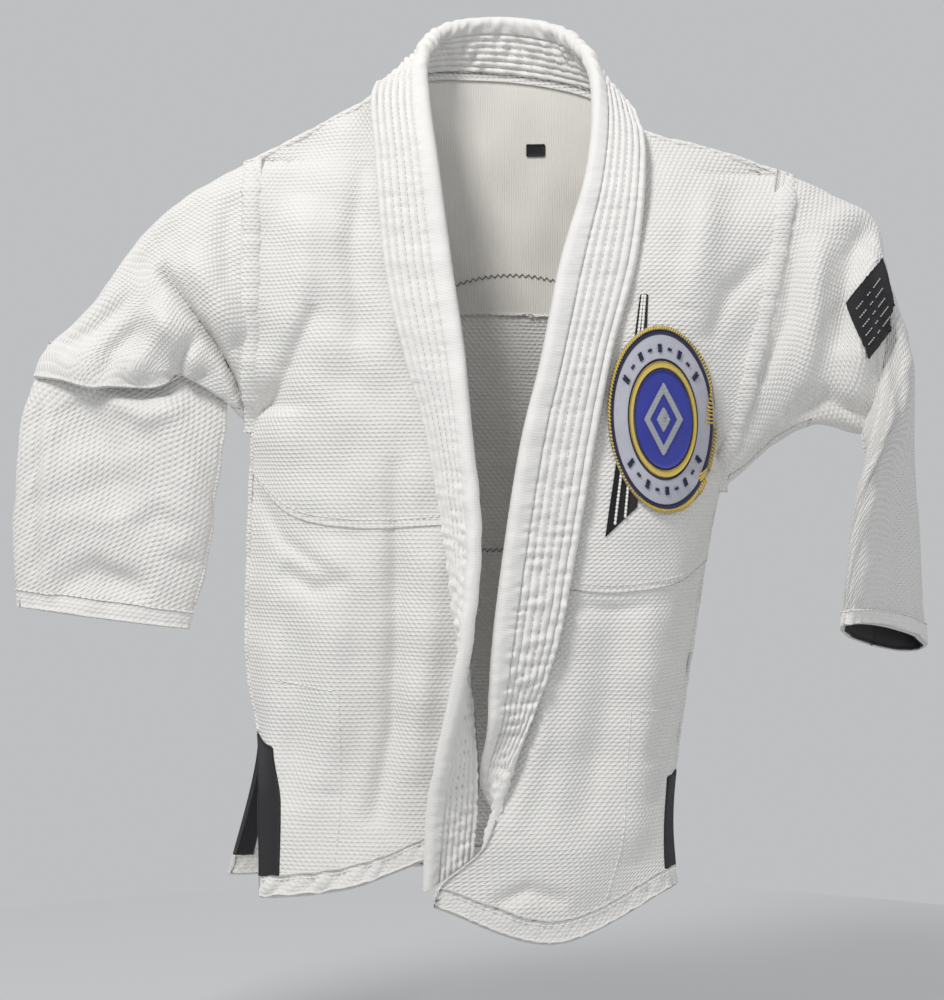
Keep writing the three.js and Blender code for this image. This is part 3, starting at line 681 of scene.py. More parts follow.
def zigzag(skin, reach, height_at, rise, lift):
    """The corners of a zigzag seam on a skin, between two places in x."""
    corners = []
    for k, x in enumerate(np.arange(*reach, ZIGZAG_STEP)):
        z = height_at(x) + (rise if k % 2 else -rise)
        corners.append(skin.at(x, z, lift)[0])
    return np.array(corners)


def inside_lift(grid, distance):
    """A lift of that distance towards the inside of the jacket, from the back panel."""
    return distance * (1 if normals(grid)[5, 5, 1] < 0 else -1)


def threads(name, lines, material, radius=0.33):
    """A round thread along each line, as one mesh."""
    points, faces, start = [], [], 0
    for line in lines:
        rings = tube_along(line, (radius, radius), 5)
        points.append(rings.reshape(-1, 3))
        faces.extend(quads(len(line), 5, start, True).tolist())
        start += len(line) * 5
    points = np.concatenate(points)
    return mesh_piece(name, points, faces, points[:, [0, 2]], material)


def label_patch(name, skin, corners, material, thickness, lift, cell=1.2):
    """A patch laid on a skin; its corners run clockwise from the top left as seen from the front."""
    a, b, c, d = (np.array(corner, float) for corner in corners)
    rows = max(3, round(np.linalg.norm(d - a) / cell))
    columns = max(3, round(np.linalg.norm(b - a) / cell))
    grid = np.empty((rows, columns, 3))
    for i, down in enumerate(np.linspace(0, 1, rows)):
        for j, over in enumerate(np.linspace(0, 1, columns)):
            x, z = (a * (1 - over) + b * over) * (1 - down) + (d * (1 - over) + c * over) * down
            grid[i, j] = skin.at(x, z, lift)[0]
    grid = smoothed(grid, 2)
    return sheet_piece(name, grid, thickness, material)


def smoothed(grid, times):
    """The grid with small steps in depth evened out."""
    out = grid.copy()
    for _ in range(times):
        pad = np.pad(out[..., 1], 1, mode="edge")
        out[..., 1] = (pad[:-2, 1:-1] + pad[2:, 1:-1] + pad[1:-1, :-2] + pad[1:-1, 2:] + 4 * out[..., 1]) / 8
    return out


# ---- Fronts ----

RIGHT_ROWS = [
    [(-151, 0, -37), (-108, -2, -15), (-92, -3, -7), (-74, 2, 6)],
    [(-150, -19, -99), (-118, -27, -84), (-96, -27, -68), (-66, -18, -46)],
    [(-151, -20, -150), (-124, -30, -142), (-98, -34, -131), (-58, -33, -114)],
    [(-151, 0, -200), (-126, -26, -200), (-88, -38, -198), (-36, -45, -196)],
    [(-152, 0, -222), (-126, -24, -248), (-88, -40, -256), (-26, -50, -254)],
    [(-154, 0, -285), (-130, -24, -292), (-86, -41, -306), (-22, -50, -305)],
    [(-154, 0, -340), (-135, -23, -344), (-84, -41, -350), (-20, -49, -350)],
    [(-147, -3, -380), (-137, -22, -386), (-82, -41, -392), (-17, -46, -390)],
    [(-145, -24, -417), (-132, -34, -418), (-84, -44, -425), (-17, -45, -412)],
    [(-143, -36, -459), (-132, -41, -458), (-88, -49, -451), (-20, -45, -424)],
    [(-143, -37, -470), (-132, -42, -469), (-88, -50, -462), (-20, -45, -435)],
]
LEFT_ROWS = [
    [(169, 0, -45), (120, -2, -30), (94, -3, -24), (74, 2, -16)],
    [(158, -20, -104), (126, -31, -94), (98, -33, -84), (68, -22, -68)],
    [(147, -24, -150), (120, -37, -146), (90, -41, -138), (52, -36, -122)],
    [(137, -19, -192), (113, -36, -196), (82, -44, -198), (40, -42, -196)],
    [(127, 0, -234), (107, -32, -244), (74, -46, -248), (30, -45, -246)],
    [(119, 0, -276), (99, -31, -288), (64, -47, -293), (22, -46, -291)],
    [(111, 0, -330), (96, -28, -334), (58, -48, -338), (14, -48, -336)],
    [(101, 0, -402), (93, -20, -404), (50, -49, -398), (0, -54, -392)],
    [(98, -12, -432), (91, -24, -432), (46, -56, -440), (-12, -66, -436)],
    [(99, -18, -455), (91, -29, -457), (28, -62, -480), (-38, -74, -459)],
    [(100, -19, -466), (92, -30, -468), (26, -63, -492), (-41, -75, -469)],
]
RIGHT_CREASES = [
    ([(-65, -215), (-64, -310), (-66, -370), (-78, -430)], 6, 5.0),
    ([(-95, -262), (-100, -330), (-104, -410)], 12, -3.5),
    ([(-42, -270), (-46, -340), (-54, -405)], 8, -2.5),
    ([(-152, -200), (-132, -172), (-112, -126)], 6, 3.6),
    ([(-118, -60), (-120, -110), (-128, -160)], 9, -3.0),
    ([(-84, -40), (-92, -90), (-86, -150)], 7, 2.6),
    ([(-132, -280), (-112, -292), (-90, -286)], 6, 2.6),
    ([(-148, -232), (-130, -264), (-98, -286)], 5, 2.2),
    ([(-128, -300), (-122, -360), (-126, -420)], 9, 2.6),
]
LEFT_CREASES = [
    ([(30, -300), (56, -303), (84, -302)], 4.0, 1.2),
    ([(62, -300), (56, -360), (40, -440)], 11, 3.6),
    ([(84, -302), (82, -370), (72, -450)], 10, -3.0),
    ([(112, -268), (106, -300), (99, -330)], 5, 3.2),
    ([(-10, -470), (12, -462), (34, -470)], 5, 3.2),
    ([(110, -330), (98, -350), (84, -396)], 5, 3.4),
    ([(108, -372), (96, -386), (86, -420)], 4, 2.4),
    ([(154, -96), (130, -118), (116, -150)], 7, 3.2),
    ([(124, -48), (114, -90), (106, -128)], 9, -2.8),
    ([(134, -226), (122, -208), (118, -176)], 5, 3.2),
    ([(24, -330), (18, -380), (2, -430)], 7, -2.5),
]
FRONTS = {
    "right": {"rows": RIGHT_ROWS, "creases": RIGHT_CREASES, "armpit": 3, "chest": 4, "seed": 21,
              "outward": 1, "area": 0.052},
    "left": {"rows": LEFT_ROWS, "creases": LEFT_CREASES, "armpit": 4, "chest": 5, "seed": 34,
             "outward": -1, "area": 0.048},
}
VENT_MARK, HEM_MARK = 7, 9  # the rows of both tables where the vents and the hems start
PATCH_ROWS, PATCH_COLUMNS = 20, 16  # cells of the vent patch above the vent and beside the tape
ARMHOLE_REACH = 13  # cells over which a panel takes the sleeve's round


def rounded_to_armhole(grid, column, side, front):
    """The panel's cloth near an armhole, brought to the depth of the sleeve's own round."""
    upper = SLEEVES[side]["upper"][1]
    top, low, half = upper[0][2], upper[1][2], upper[2] + 0.4
    middle, reach = (top + low) / 2, (top - low) / 2
    round_here = half * np.sqrt(np.clip(1 - ((grid[..., 2] - middle) / reach) ** 2, 0, 1))
    cells = np.abs(np.arange(grid.shape[1]) - (column % grid.shape[1]))
    share = np.exp(-((cells / ARMHOLE_REACH) ** 2))[None, :] * np.clip((grid[..., 2] - low) / 6, 0, 1)
    out = grid.copy()
    out[..., 1] += ((-round_here if front else round_here) - grid[..., 1]) * share
    return out


def tape_columns(grid, row):
    """How many of a panel's columns the vent tape covers."""
    return int(np.searchsorted(lengths_along(grid, 1)[row], TAPE_WIDTH))


def make_front(side):
    """One front and all that is sewn to it; gives its grid, its marks and its chest piece."""
    facts = FRONTS[side]
    body = f"{side}_front"
    grid, marks = surface(facts["rows"])
    grid = rounded_to_armhole(grid, 0, side, True)
    grid = creased(grid, facts["creases"], FRONT_FOLDS)
    grid[..., 1] += 0.9 * waves(grid[..., 0], grid[..., 2], 34, facts["seed"])
    chest, vent, hem = marks[facts["chest"]], marks[VENT_MARK], marks[HEM_MARK]
    outward = facts["outward"]
    front = sheet_piece(f"{side}_front_cloth", grid[: hem + 1], CLOTH, BODY_WEAVE)
    bend(front, body, "white_cloth", f"{side}_upper_front", f"{side}_lower_front")
    inner = grid[: chest + 1, :-1]
    chest_piece = sheet_piece(f"{side}_chest_cloth", inner, 1.1, BODY_WEAVE, lift=outward * 1.5)
    bend(chest_piece, body, "white_cloth", f"{side}_chest_reinforcement")
    hem_grid = puckered(grid[hem:], 8, 0.8, facts["seed"] + 1)
    hem_cloth = sheet_piece(f"{side}_hem_cloth", hem_grid, 3.6, HEM_CLOTH)
    bend(hem_cloth, body, "white_cloth", f"{side}_front_hem")
    taped = tape_columns(grid, hem)
    tape = sheet_piece(f"{side}_vent_front_tape", strip_of(grid, (vent, hem), (0, taped)), 3.8, TAPE)
    bend(tape, body, "black_twill", f"{side}_vent_tape_front")
    patched = taped + PATCH_COLUMNS
    patch_grid = strip_of(grid, (vent - PATCH_ROWS, hem), (taped, patched))
    patch = sheet_piece(f"{side}_vent_patch_cloth", patch_grid, 1.1, BODY_WEAVE, lift=-outward * 1.5)
    bend(patch, body, "white_cloth", f"{side}_vent_patch")
    over = normals(grid) * outward
    lines = [
        (grid + over * 2.2)[chest - 2, 4:-2],
        (grid + over * 1.3)[vent - PATCH_ROWS, taped:patched],
        (grid + over * 1.3)[vent - PATCH_ROWS : hem, patched],
        (grid + over * 2.0)[hem + 1, 2:-2],
    ]
    seam = stitches(f"{side}_front_seams", lines, THREAD)
    bend(seam, body, "white_cloth")
    return {"grid": grid, "marks": marks, "chest": chest_piece}


# ---- Collar and lapels ----

# Each pair is the rolled edge and the stitched edge of the band, then which way its face looks.
COLLAR_PAIRS = [
    [(-40, -27, -38), (-77, -24, -38), (0.1, -1, 0)],
    [(-45, -10, 0), (-80, -9, 2), (-0.3, -1, 0.6)],
    [(-46, 4, 30), (-74, 12, 12), (-0.6, -0.4, 0.8)],
    [(-34, 24, 51), (-52, 36, 24), (-0.7, 0.5, 0.4)],
    [(0, 35, 58), (0, 45, 24), (0, 1, 0.2)],
    [(34, 24, 49), (52, 36, 14), (0.7, 0.5, 0.4)],
    [(49, 4, 26), (73, 12, 0), (0.6, -0.4, 0.8)],
    [(51, -12, -6), (82, -10, -22), (0.3, -1, 0.6)],
    [(46, -30, -49), (82, -28, -49), (-0.1, -1, 0)],
]
RIGHT_LAPEL_PAIRS = [
    [(-31, -42, -106), (-70, -38, -110)],
    [(-24, -53, -155), (-59, -46, -158)],
    [(-20, -66, -205), (-46, -50, -203)],
    [(-16, -78, -262), (-36, -53, -258)],
    [(-23, -86, -320), (-27, -54, -320)],
    [(-36, -80, -372), (-19, -53, -374)],
    [(-45, -70, -415), (-17, -52, -414)],
    [(-48, -62, -463), (-19, -54, -448)],
]
LEFT_LAPEL_PAIRS = [
    [(31, -44, -101), (76, -40, -100)],
    [(19, -54, -160), (61, -47, -156)],
    [(8, -60, -205), (52, -51, -202)],
    [(-3, -66, -274), (40, -55, -270)],
    [(-9, -70, -326), (29, -57, -324)],
    [(-11, -66, -366), (16, -58, -362)],
    [(-13, -45, -402), (0, -64, -402)],
    [(9, -46, -440), (-14, -62, -440)],
    [(20, -52, -470), (-16, -66, -474)],
]
BAND_PARTS = [("right_lapel", "right_front"), ("neck_collar", None), ("left_lapel", "left_front")]
CHANNELS = 6
PUCKERS_START, PUCKERS_FULL = -200, -320  # the band is drawn up by its stitches below these heights
NECK_TOP = 40  # and gathered about this height, where it turns round the neck
ROLL_SHARE = 0.30  # of the band's width, smooth and unstitched
BAND_ACROSS = 60  # points across each face


def lapel_section(pair, turn):
    """A lapel's face looks level, square to the line between its edges."""
    roll, stitched = pair
    return [roll, stitched, (turn * (roll[1] - stitched[1]), turn * (stitched[0] - roll[0]), 0)]


def band_profile():
    """Across the band from its roll, 0, to its stitched edge, 1: each place and its thickness share."""
    s = (1 - np.cos(np.pi * np.arange(BAND_ACROSS + 1) / BAND_ACROSS)) / 2
    s = 0.35 * s + 0.65 * np.arange(BAND_ACROSS + 1) / BAND_ACROSS
    nose = np.sqrt(np.clip(1 - (1 - np.clip(s / 0.13, 0, 1)) ** 2, 0, 1))
    tail = np.sqrt(np.clip(1 - (1 - np.clip((1 - s) / 0.05, 0, 1)) ** 2, 0, 1))
    channel = np.clip((s - ROLL_SHARE) / (1 - ROLL_SHARE), 0, 1) * CHANNELS
    quilt = np.where(s > ROLL_SHARE, np.abs(np.sin(np.pi * channel)) ** 0.5, 1)
    fall = 1.22 - 0.45 * np.clip(s / ROLL_SHARE, 0, 1) ** 3
    thick = nose * tail * (fall - 0.62 * (1 - quilt))
    return s, thick, np.where(s > ROLL_SHARE, 1.0, 0.25)


def band_grid():
    """Rings of the whole band from the right lapel's end to the left one's, and each section's ring."""
    right = [lapel_section(pair, 1) for pair in RIGHT_LAPEL_PAIRS]
    left = [lapel_section(pair, -1) for pair in LEFT_LAPEL_PAIRS]
    sections = right[::-1] + COLLAR_PAIRS + left
    roll = np.array([section[0] for section in sections], float)
    stitched = np.array([section[1] for section in sections], float)
    wide = (roll - stitched) / np.linalg.norm(roll - stitched, axis=1, keepdims=True)
    thin = np.array([section[2] for section in sections], float)
    thin -= np.sum(thin * wide, axis=1, keepdims=True) * wide
    thin /= np.linalg.norm(thin, axis=1, keepdims=True)
    frames = np.stack([roll, stitched, stitched + thin * 10], axis=1)
    steps = spans(frames[:, :2], 1.3)
    fine = along(frames, steps)
    roll, stitched, tip = fine[:, 0], fine[:, 1], fine[:, 2]
    wide = stitched - roll
    thin = tip - stitched
    thin -= np.sum(thin * wide, axis=1, keepdims=True) * wide / np.sum(wide**2, axis=1, keepdims=True)
    thin /= np.linalg.norm(thin, axis=1, keepdims=True)
    s, thick, stitched_part = band_profile()
    place = lengths_along(fine[:, :1], 0)[:, 0]
    middle = roll[:, None] + wide[:, None] * s[:, None]
    height = middle[..., 2]
    tight = 0.25 + 0.75 * np.clip((PUCKERS_START - height) / (PUCKERS_START - PUCKERS_FULL), 0, 1)
    gathered = np.exp(-(((height - NECK_TOP) / 22) ** 2)) * 1.5
    pucker = waves(place[:, None], s * 14, 6.5, 8, 12) * (tight * stitched_part + gathered)
    pucker += 0.5 * waves(place[:, None], s * 9, 17, 9)
    beside_roll = np.exp(-(((s - ROLL_SHARE) / 0.1) ** 2))
    pucker += 1.3 * waves(place[:, None], s * 4, 5, 14, 12) * beside_roll * tight
    half = BAND_THICK / 2 * thick
    face = middle + thin[:, None] * (half + 0.8 * pucker * np.minimum(1, thick * 2))[..., None]
    back = middle + thin[:, None] * (-half + 0.6 * pucker * np.minimum(1, thick * 2))[..., None]
    rings = np.concatenate([face, back[:, -2:0:-1]], axis=1)
    u = np.concatenate([s, s[-2:0:-1] + 1]) * 36
    uv = np.stack([u + 0 * rings[..., 0], place[:, None] + 0 * rings[..., 0]], axis=-1)
    marks = np.concatenate([[0], np.cumsum(steps)])
    return rings, uv, marks, len(RIGHT_LAPEL_PAIRS), len(RIGHT_LAPEL_PAIRS) + len(COLLAR_PAIRS) - 1


def make_band():
    """The collar and the two lapels, cut from one band, with their rows of stitches."""
    rings, uv, marks, first, last = band_grid()
    shading = normals(rings, True)
    middle = rings.mean(axis=1, keepdims=True)
    shading *= np.sign(np.sum((rings - middle) * shading))
    cuts = [0, marks[first], marks[last], len(rings) - 1]
    grooves = [ROLL_SHARE + (1 - ROLL_SHARE) * k / CHANNELS for k in range(CHANNELS)]
    s = band_profile()[0]
    columns = [int(np.argmin(np.abs(s - groove))) for groove in grooves]
    count = rings.shape[1]
    back_columns = [count - column for column in columns]
    for (node, body), a, b in zip(BAND_PARTS, cuts[:-1], cuts[1:]):
        name = f"{node}_band"
        part = rings[a : b + 1]
        piece = bar_piece(name, part, uv[a : b + 1].reshape(-1, 2), BAND_CLOTH, shading[a : b + 1])
        lines = []
        for column in columns + back_columns:
            side = 1 if column < BAND_ACROSS else -1
            lift = normals(part, True)[:, column]
            lines.append(part[:, column] + lift * 0.12 * side)
        # The band's stitches take the grey thread, painted shade in their grooves.
        thread = stitches(f"{name}_stitches", lines, GROOVE_SHADOW_THREAD, radius=0.3, length=2.4, gap=1.0)
        for one in (piece, thread):
            if body:
                bend(one, body, "band_cloth")
            else:
                fixed(one, "coat_body", "band_cloth")
        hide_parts(node, f"{node}_core")


# ---- Sleeves ----

SLEEVE_ROUND = 40  # mm, the radius that a sleeve's unevenness is drawn round
CUFF_ROWS = 6  # rows of the sleeve's grid that the cuff covers
CUFF_LENGTH = 330  # mm, round the cuff
GUSSET_HALF = 6  # half the gusset's width, in columns of the sleeve's grid
GUSSET_ROWS = (5, 30)

# Each section has its two edges and its half depth, then which way that depth lies.
RIGHT_UPPER = [
    [(-145, 0, -36), (-147, 0, -188), 19],
    [(-153, 0, -39), (-154, 0, -190), 21],
    [(-184, -1, -55), (-157, -1, -190), 21],
    [(-215, -2, -81), (-160, -2, -187), 19],
    [(-247, -3, -125), (-163, -3, -182), 19],
    [(-277, -4, -154), (-165, -4, -174), 18],
    [(-282, -4, -166), (-163, -4, -180), 16],
]
RIGHT_LOWER = [
    [(-272, -3, -146), (-168, -3, -148), 5],
    [(-280, -4, -166), (-168, -4, -170), 6],
    [(-287, -5, -186), (-169, -5, -190), 9],
    [(-291, -6, -228), (-174, -6, -240), 13],
    [(-293, -7, -268), (-181, -7, -283), 13],
    [(-289, -8, -303), (-190, -8, -316), 12],
]
LEFT_UPPER = [
    [(163, 0, -42), (124, 0, -226), 20],
    [(172, 0, -47), (132, 0, -229), 24],
    [(196, 0, -58), (160, 0, -205), 24],
    [(211, -1, -66), (186, -1, -194), 22],
    [(221, -2, -77), (207, -2, -198), 21],
    [(229, -2, -114), (217, -2, -200), 18],
]
LEFT_LOWER = [
    [(226, -2, -104), (214, -2, -190), 13, (0, 1, 0)],
    [(232, -2, -118), (213, -2, -196), 15, (0, 1, 0)],
    [(241, 0, -142), (214, -6, -203), 24, (0.15, 1, 0)],
    [(242, -8, -184), (217, -4, -213), 40, (0.3, 0.95, 0)],
    [(235, -10, -232), (221, -3, -236), 54, (0.44, 0.9, 0)],
    [(234, -12, -275), (219, -3, -275), 56.5, (0.49, 0.87, 0)],
    [(234, -14, -317), (217, -4, -326), 54, (0.53, 0.84, -0.21)],
]
RIGHT_UPPER_CREASES = [
    ([(-206, -102), (-189, -124), (-173, -146), (-163, -164), (-150, -200)], 3.4, 11),
    ([(-190, -96), (-172, -118), (-158, -146)], 9, -6),
    ([(-210, -124), (-194, -142), (-180, -166)], 9, -7),
    ([(-268, -152), (-244, -140), (-218, -116)], 6, 4),
    ([(-222, -170), (-206, -146), (-196, -130)], 7, -4),
    ([(-196, -178), (-191, -158), (-184, -142)], 4.5, 6),
    ([(-240, -168), (-230, -150), (-214, -134)], 5, 3.5),
    ([(-176, -62), (-200, -82), (-232, -118)], 9, 2.5),
    ([(-162, -60), (-166, -90), (-162, -118)], 6, 2.5),
]
RIGHT_LOWER_CREASES = [
    ([(-256, -180), (-236, -212), (-228, -250)], 12, 5),
    ([(-268, -292), (-244, -282), (-210, -294)], 9, 4),
    ([(-206, -176), (-186, -220), (-192, -275)], 12, -4),
    ([(-276, -180), (-278, -240), (-276, -300)], 2.5, 1.8),
    ([(-271, -180), (-272, -240), (-270, -300)], 4, -1.8),
    ([(-240, -176), (-214, -190), (-188, -184)], 6, -3.5),
    ([(-224, -260), (-206, -250), (-190, -262)], 8, 2.5),
]
LEFT_UPPER_CREASES = [
    ([(215, -72), (207, -95), (203, -118), (199, -152)], 8.5, 7),
    ([(214, -86), (208, -130), (206, -185)], 9, -6),
    ([(186, -84), (180, -130), (176, -176)], 8, -5),
    ([(172, -80), (166, -130), (148, -176)], 6, 4),
    ([(216, -190), (190, -178), (166, -190)], 5, 4),
    ([(198, -198), (186, -196), (170, -206)], 6, -3),
]
LEFT_LOWER_CREASES = [
    ([(228, -136), (229, -220), (232, -310)], 4, 3.5),
    ([(214, -210), (208, -260), (204, -300)], 6, -2.5),
]


def sleeve_grid(sections, cell=CELL, sides=110):
    """Rings round a sleeve, their depth following each section."""
    turn = np.pi + 2 * np.pi * np.arange(sides) / sides
    rings = []
    for section in sections:
        first, second, half = (np.array(value, float) for value in section[:3])
        facing = np.array(section[3] if len(section) > 3 else (0, 1, 0), float)
        middle = (first + second) / 2
        wide = first - middle
        facing -= facing @ wide / (wide @ wide) * wide
        facing /= np.linalg.norm(facing)
        rings.append(middle + np.cos(turn)[:, None] * wide + np.sin(turn)[:, None] * half * facing)
    rings = np.array(rings)
    return along(rings, spans(rings, cell))


def folded_sleeve(sections, creases, seed, rough=0.7):
    """A sleeve's grid with its creases on the side that faces the front, and gentle unevenness."""
    grid = sleeve_grid(sections)
    facing_front = np.clip(-normals(grid, True)[..., 1] * sign_out(grid) * 1.6, 0, 1)
    grid = creased(grid, creases, facing_front * SLEEVE_FOLDS)
    around = np.linspace(0, 2 * np.pi, grid.shape[1], endpoint=False)
    place = lengths_along(grid, 0)
    over, down = SLEEVE_ROUND * np.cos(around), place + SLEEVE_ROUND * np.sin(around)
    swell = waves(over, down, 42, seed)
    small = waves(over, down, 17, seed + 1)
    out = normals(grid, True) * sign_out(grid)
    return grid + out * (rough * swell + 0.25 * small)[..., None]


def lip_raised(grid, place, width, rise):
    """The sleeve's lower lip lifted where a fold runs into it."""
    out = grid.copy()
    rows = np.clip((np.arange(len(grid)) - len(grid) + 16) / 16, 0, 1)[:, None] ** 2
    out[..., 2] += rise * rows * np.exp(-(((grid[..., 0] - place) / width) ** 2))
    return out


def sign_out(grid):
    """1 where a loop grid's normals point out of the sleeve, -1 where they point in."""
    middle = grid[grid.shape[0] // 2]
    out = normals(grid, True)[grid.shape[0] // 2]
    return 1 if np.sum((middle - middle.mean(axis=0)) * out) > 0 else -1


def cuff_parts(side, grid, body):
    """The hem turned up outside a sleeve's end and the black lining inside it."""
    out = sign_out(grid)
    end = grid[-CUFF_ROWS:]
    small = waves(np.linspace(0, CUFF_LENGTH, end.shape[1], endpoint=False), 0, 9, 17)
    puckers = end + normals(grid, True)[-CUFF_ROWS:] * out * (0.3 * small)[..., None]
    end_uv = sleeve_uv(end)
    hem = sheet_piece(f"{side}_cuff_cloth", puckers, 1.3, HEM_CLOTH, lift=out * 1.2, uv=end_uv, loop=True)
    fixed(hem, body, "white_cloth", f"{side}_cuff_hem")
    drop = np.array([0, 0, 0.6])
    lining = sheet_piece(f"{side}_cuff_twill", end + drop, 1.0, TAPE, lift=-out * 1.9, uv=end_uv, loop=True)
    fixed(lining, body, "black_twill", f"{side}_cuff_lining")
    line = grid[-CUFF_ROWS] + normals(grid, True)[-CUFF_ROWS] * out * 2.2
    seam = stitches(f"{side}_cuff_seam", [np.concatenate([line, line[:1]])], THREAD)
    fixed(seam, body, "white_cloth")
    return [hem, lining, seam]


SLEEVES = {
    "right": {"upper": RIGHT_UPPER, "lower": RIGHT_LOWER, "folds": (RIGHT_UPPER_CREASES, RIGHT_LOWER_CREASES),
              "lip": [(-186, 15, 15), (-246, 12, -3), (-162, 7, -6)],
              "turns": (0.9, 0.6), "flat": (0.25, 0.17), "seed": 51},
    "left": {"upper": LEFT_UPPER, "lower": LEFT_LOWER, "folds": (LEFT_UPPER_CREASES, LEFT_LOWER_CREASES),
             "lip": [], "turns": (-0.9, -0.5), "flat": (0.22, 0.23), "seed": 71},
}


def make_sleeve(side):
    """One sleeve: upper part, gusset, lower part, cuff and seam."""
    facts = SLEEVES[side]
    seed, turns, flat = facts["seed"], facts["turns"], facts["flat"]
    arm, forearm = f"{side}_sleeve", f"{side}_forearm"
    upper_grid = folded_sleeve(facts["upper"], facts["folds"][0], seed)
    for notch in facts["lip"]:
        upper_grid = lip_raised(upper_grid, *notch)
    out = sign_out(upper_grid)
    upper_uv = sleeve_uv(upper_grid, turns[0])
    top = sheet_piece(f"{side}_upper_sleeve_cloth", upper_grid, CLOTH, SLEEVE_WEAVE, uv=upper_uv, loop=True)
    bend(top, arm, "white_cloth", f"{side}_upper_sleeve")
    under = np.roll(upper_grid, GUSSET_HALF, axis=1)[slice(*GUSSET_ROWS), : 2 * GUSSET_HALF + 1]
    under_uv = sleeve_uv(under, turns[0])
    gusset = sheet_piece(f"{side}_gusset_cloth", under, 0.9, SLEEVE_WEAVE, lift=out * 0.8, uv=under_uv)
    bend(gusset, arm, "white_cloth", f"{side}_underarm_gusset")
    lower_grid = folded_sleeve(facts["lower"], facts["folds"][1], seed + 5)
    lower_uv = sleeve_uv(lower_grid, turns[1])
    low = sheet_piece(f"{side}_lower_sleeve_cloth", lower_grid, 1.8, FOREARM_WEAVE, uv=lower_uv, loop=True)
    bend(low, forearm, "white_cloth", f"{side}_lower_sleeve")
    cuff = cuff_parts(side, lower_grid, forearm)
    inner = lower_grid[:, 0] - lower_grid[:, lower_grid.shape[1] // 2]
    inner /= np.linalg.norm(inner, axis=1, keepdims=True)
    seam_line = (lower_grid[:, 0] + inner * 0.6)[6:-7]
    low_seam = ridge(f"{side}_lower_sleeve_seam", seam_line, 5, 1.5, SLEEVE_WEAVE, up=inner.mean(axis=0))
    bend(low_seam, forearm, "white_cloth")
    cuff.append(low_seam)
    extra = [gusset]
    if side == "left":
        extra += make_label(top)


LABEL_CORNERS = [(202, -124), (221, -98), (231, -134), (211, -157)]


def make_label(sleeve):
    """The black label folded over the sleeve's outer edge, with plain printed lines."""
    skin = Skin(sleeve)
    label = label_patch("sleeve_label_cloth", skin, LABEL_CORNERS, LABEL, 0.9, 1.9)
    label_skin = Skin(label)
    a, b, c, d = (np.array(corner, float) for corner in LABEL_CORNERS)
    marks = []
    for down in (0.2, 0.36, 0.52, 0.68, 0.84):
        left, right = a + (d - a) * down, b + (c - b) * down
        for start, end in ((0.1, 0.34), (0.40, 0.52), (0.58, 0.88)):
            ends = [left + (right - left) * share for share in (start, end)]
            marks.append(label_skin.lay(between(ends, 0.6), 0.25))
    printed = stitches("sleeve_label_print", marks, PRINT, length=1.3, gap=0.35, radius=0.42)
    bend(label, "left_sleeve", "label_cloth", "sleeve_label")
    bend(printed, "left_sleeve", "label_cloth")
    return [label, printed]


# ---- Badge ----

BADGE_CENTRE = (90.5, -193.5)
BADGE_RADII = (32.5, 55.5)
BADGE_TILT = math.radians(-3)


def badge_place(share, turn):
    """x, z at a share of the badge's radius and an angle from its top."""
    x = BADGE_RADII[0] * share * math.sin(turn)
    z = BADGE_RADII[1] * share * math.cos(turn)
    c, s = math.cos(BADGE_TILT), math.sin(BADGE_TILT)
    return BADGE_CENTRE[0] + c * x + s * z, BADGE_CENTRE[1] - s * x + c * z


def badge_layer(name, skin, inner, outer, lift, thickness, material, sides=96):
    """A round layer with a raised rounded section, from one share of the radius to another."""
    rows = max(4, round((outer - inner) * 26))
    shares = np.linspace(inner, outer, rows)
    angle = np.linspace(0, 2 * math.pi, sides, endpoint=False)
    grid = np.array([[skin.at(*badge_place(share, turn), lift)[0] for turn in angle] for share in shares])
    grid = smoothed(grid, 8)
    uv = np.stack([45 * shares[:, None] * np.sin(angle), 45 * shares[:, None] * np.cos(angle)], axis=-1)
    return sheet_piece(name, grid, thickness, material, uv=uv, loop=True)


def merrow(name, skin, share, lift, radius, material, count=150):
    """The overlocked edge: short threads wrapped side by side over the badge's rim."""
    wraps = []
    arch = 0.8 * np.sin(np.linspace(0.3, math.pi - 0.3, 5))
    for k in range(count):
        turn = 2 * math.pi * k / count
        inner, normal = skin.at(*badge_place(share - 0.035, turn - 0.01), lift)
        outer, _ = skin.at(*badge_place(share + 0.035, turn + 0.01), lift - 0.5)
        line = np.linspace(inner, outer, len(arch)) + normal * arch[:, None]
        wraps.append(tube_along(line, (radius, radius), up=normal))
    return tubes(name, wraps, material)


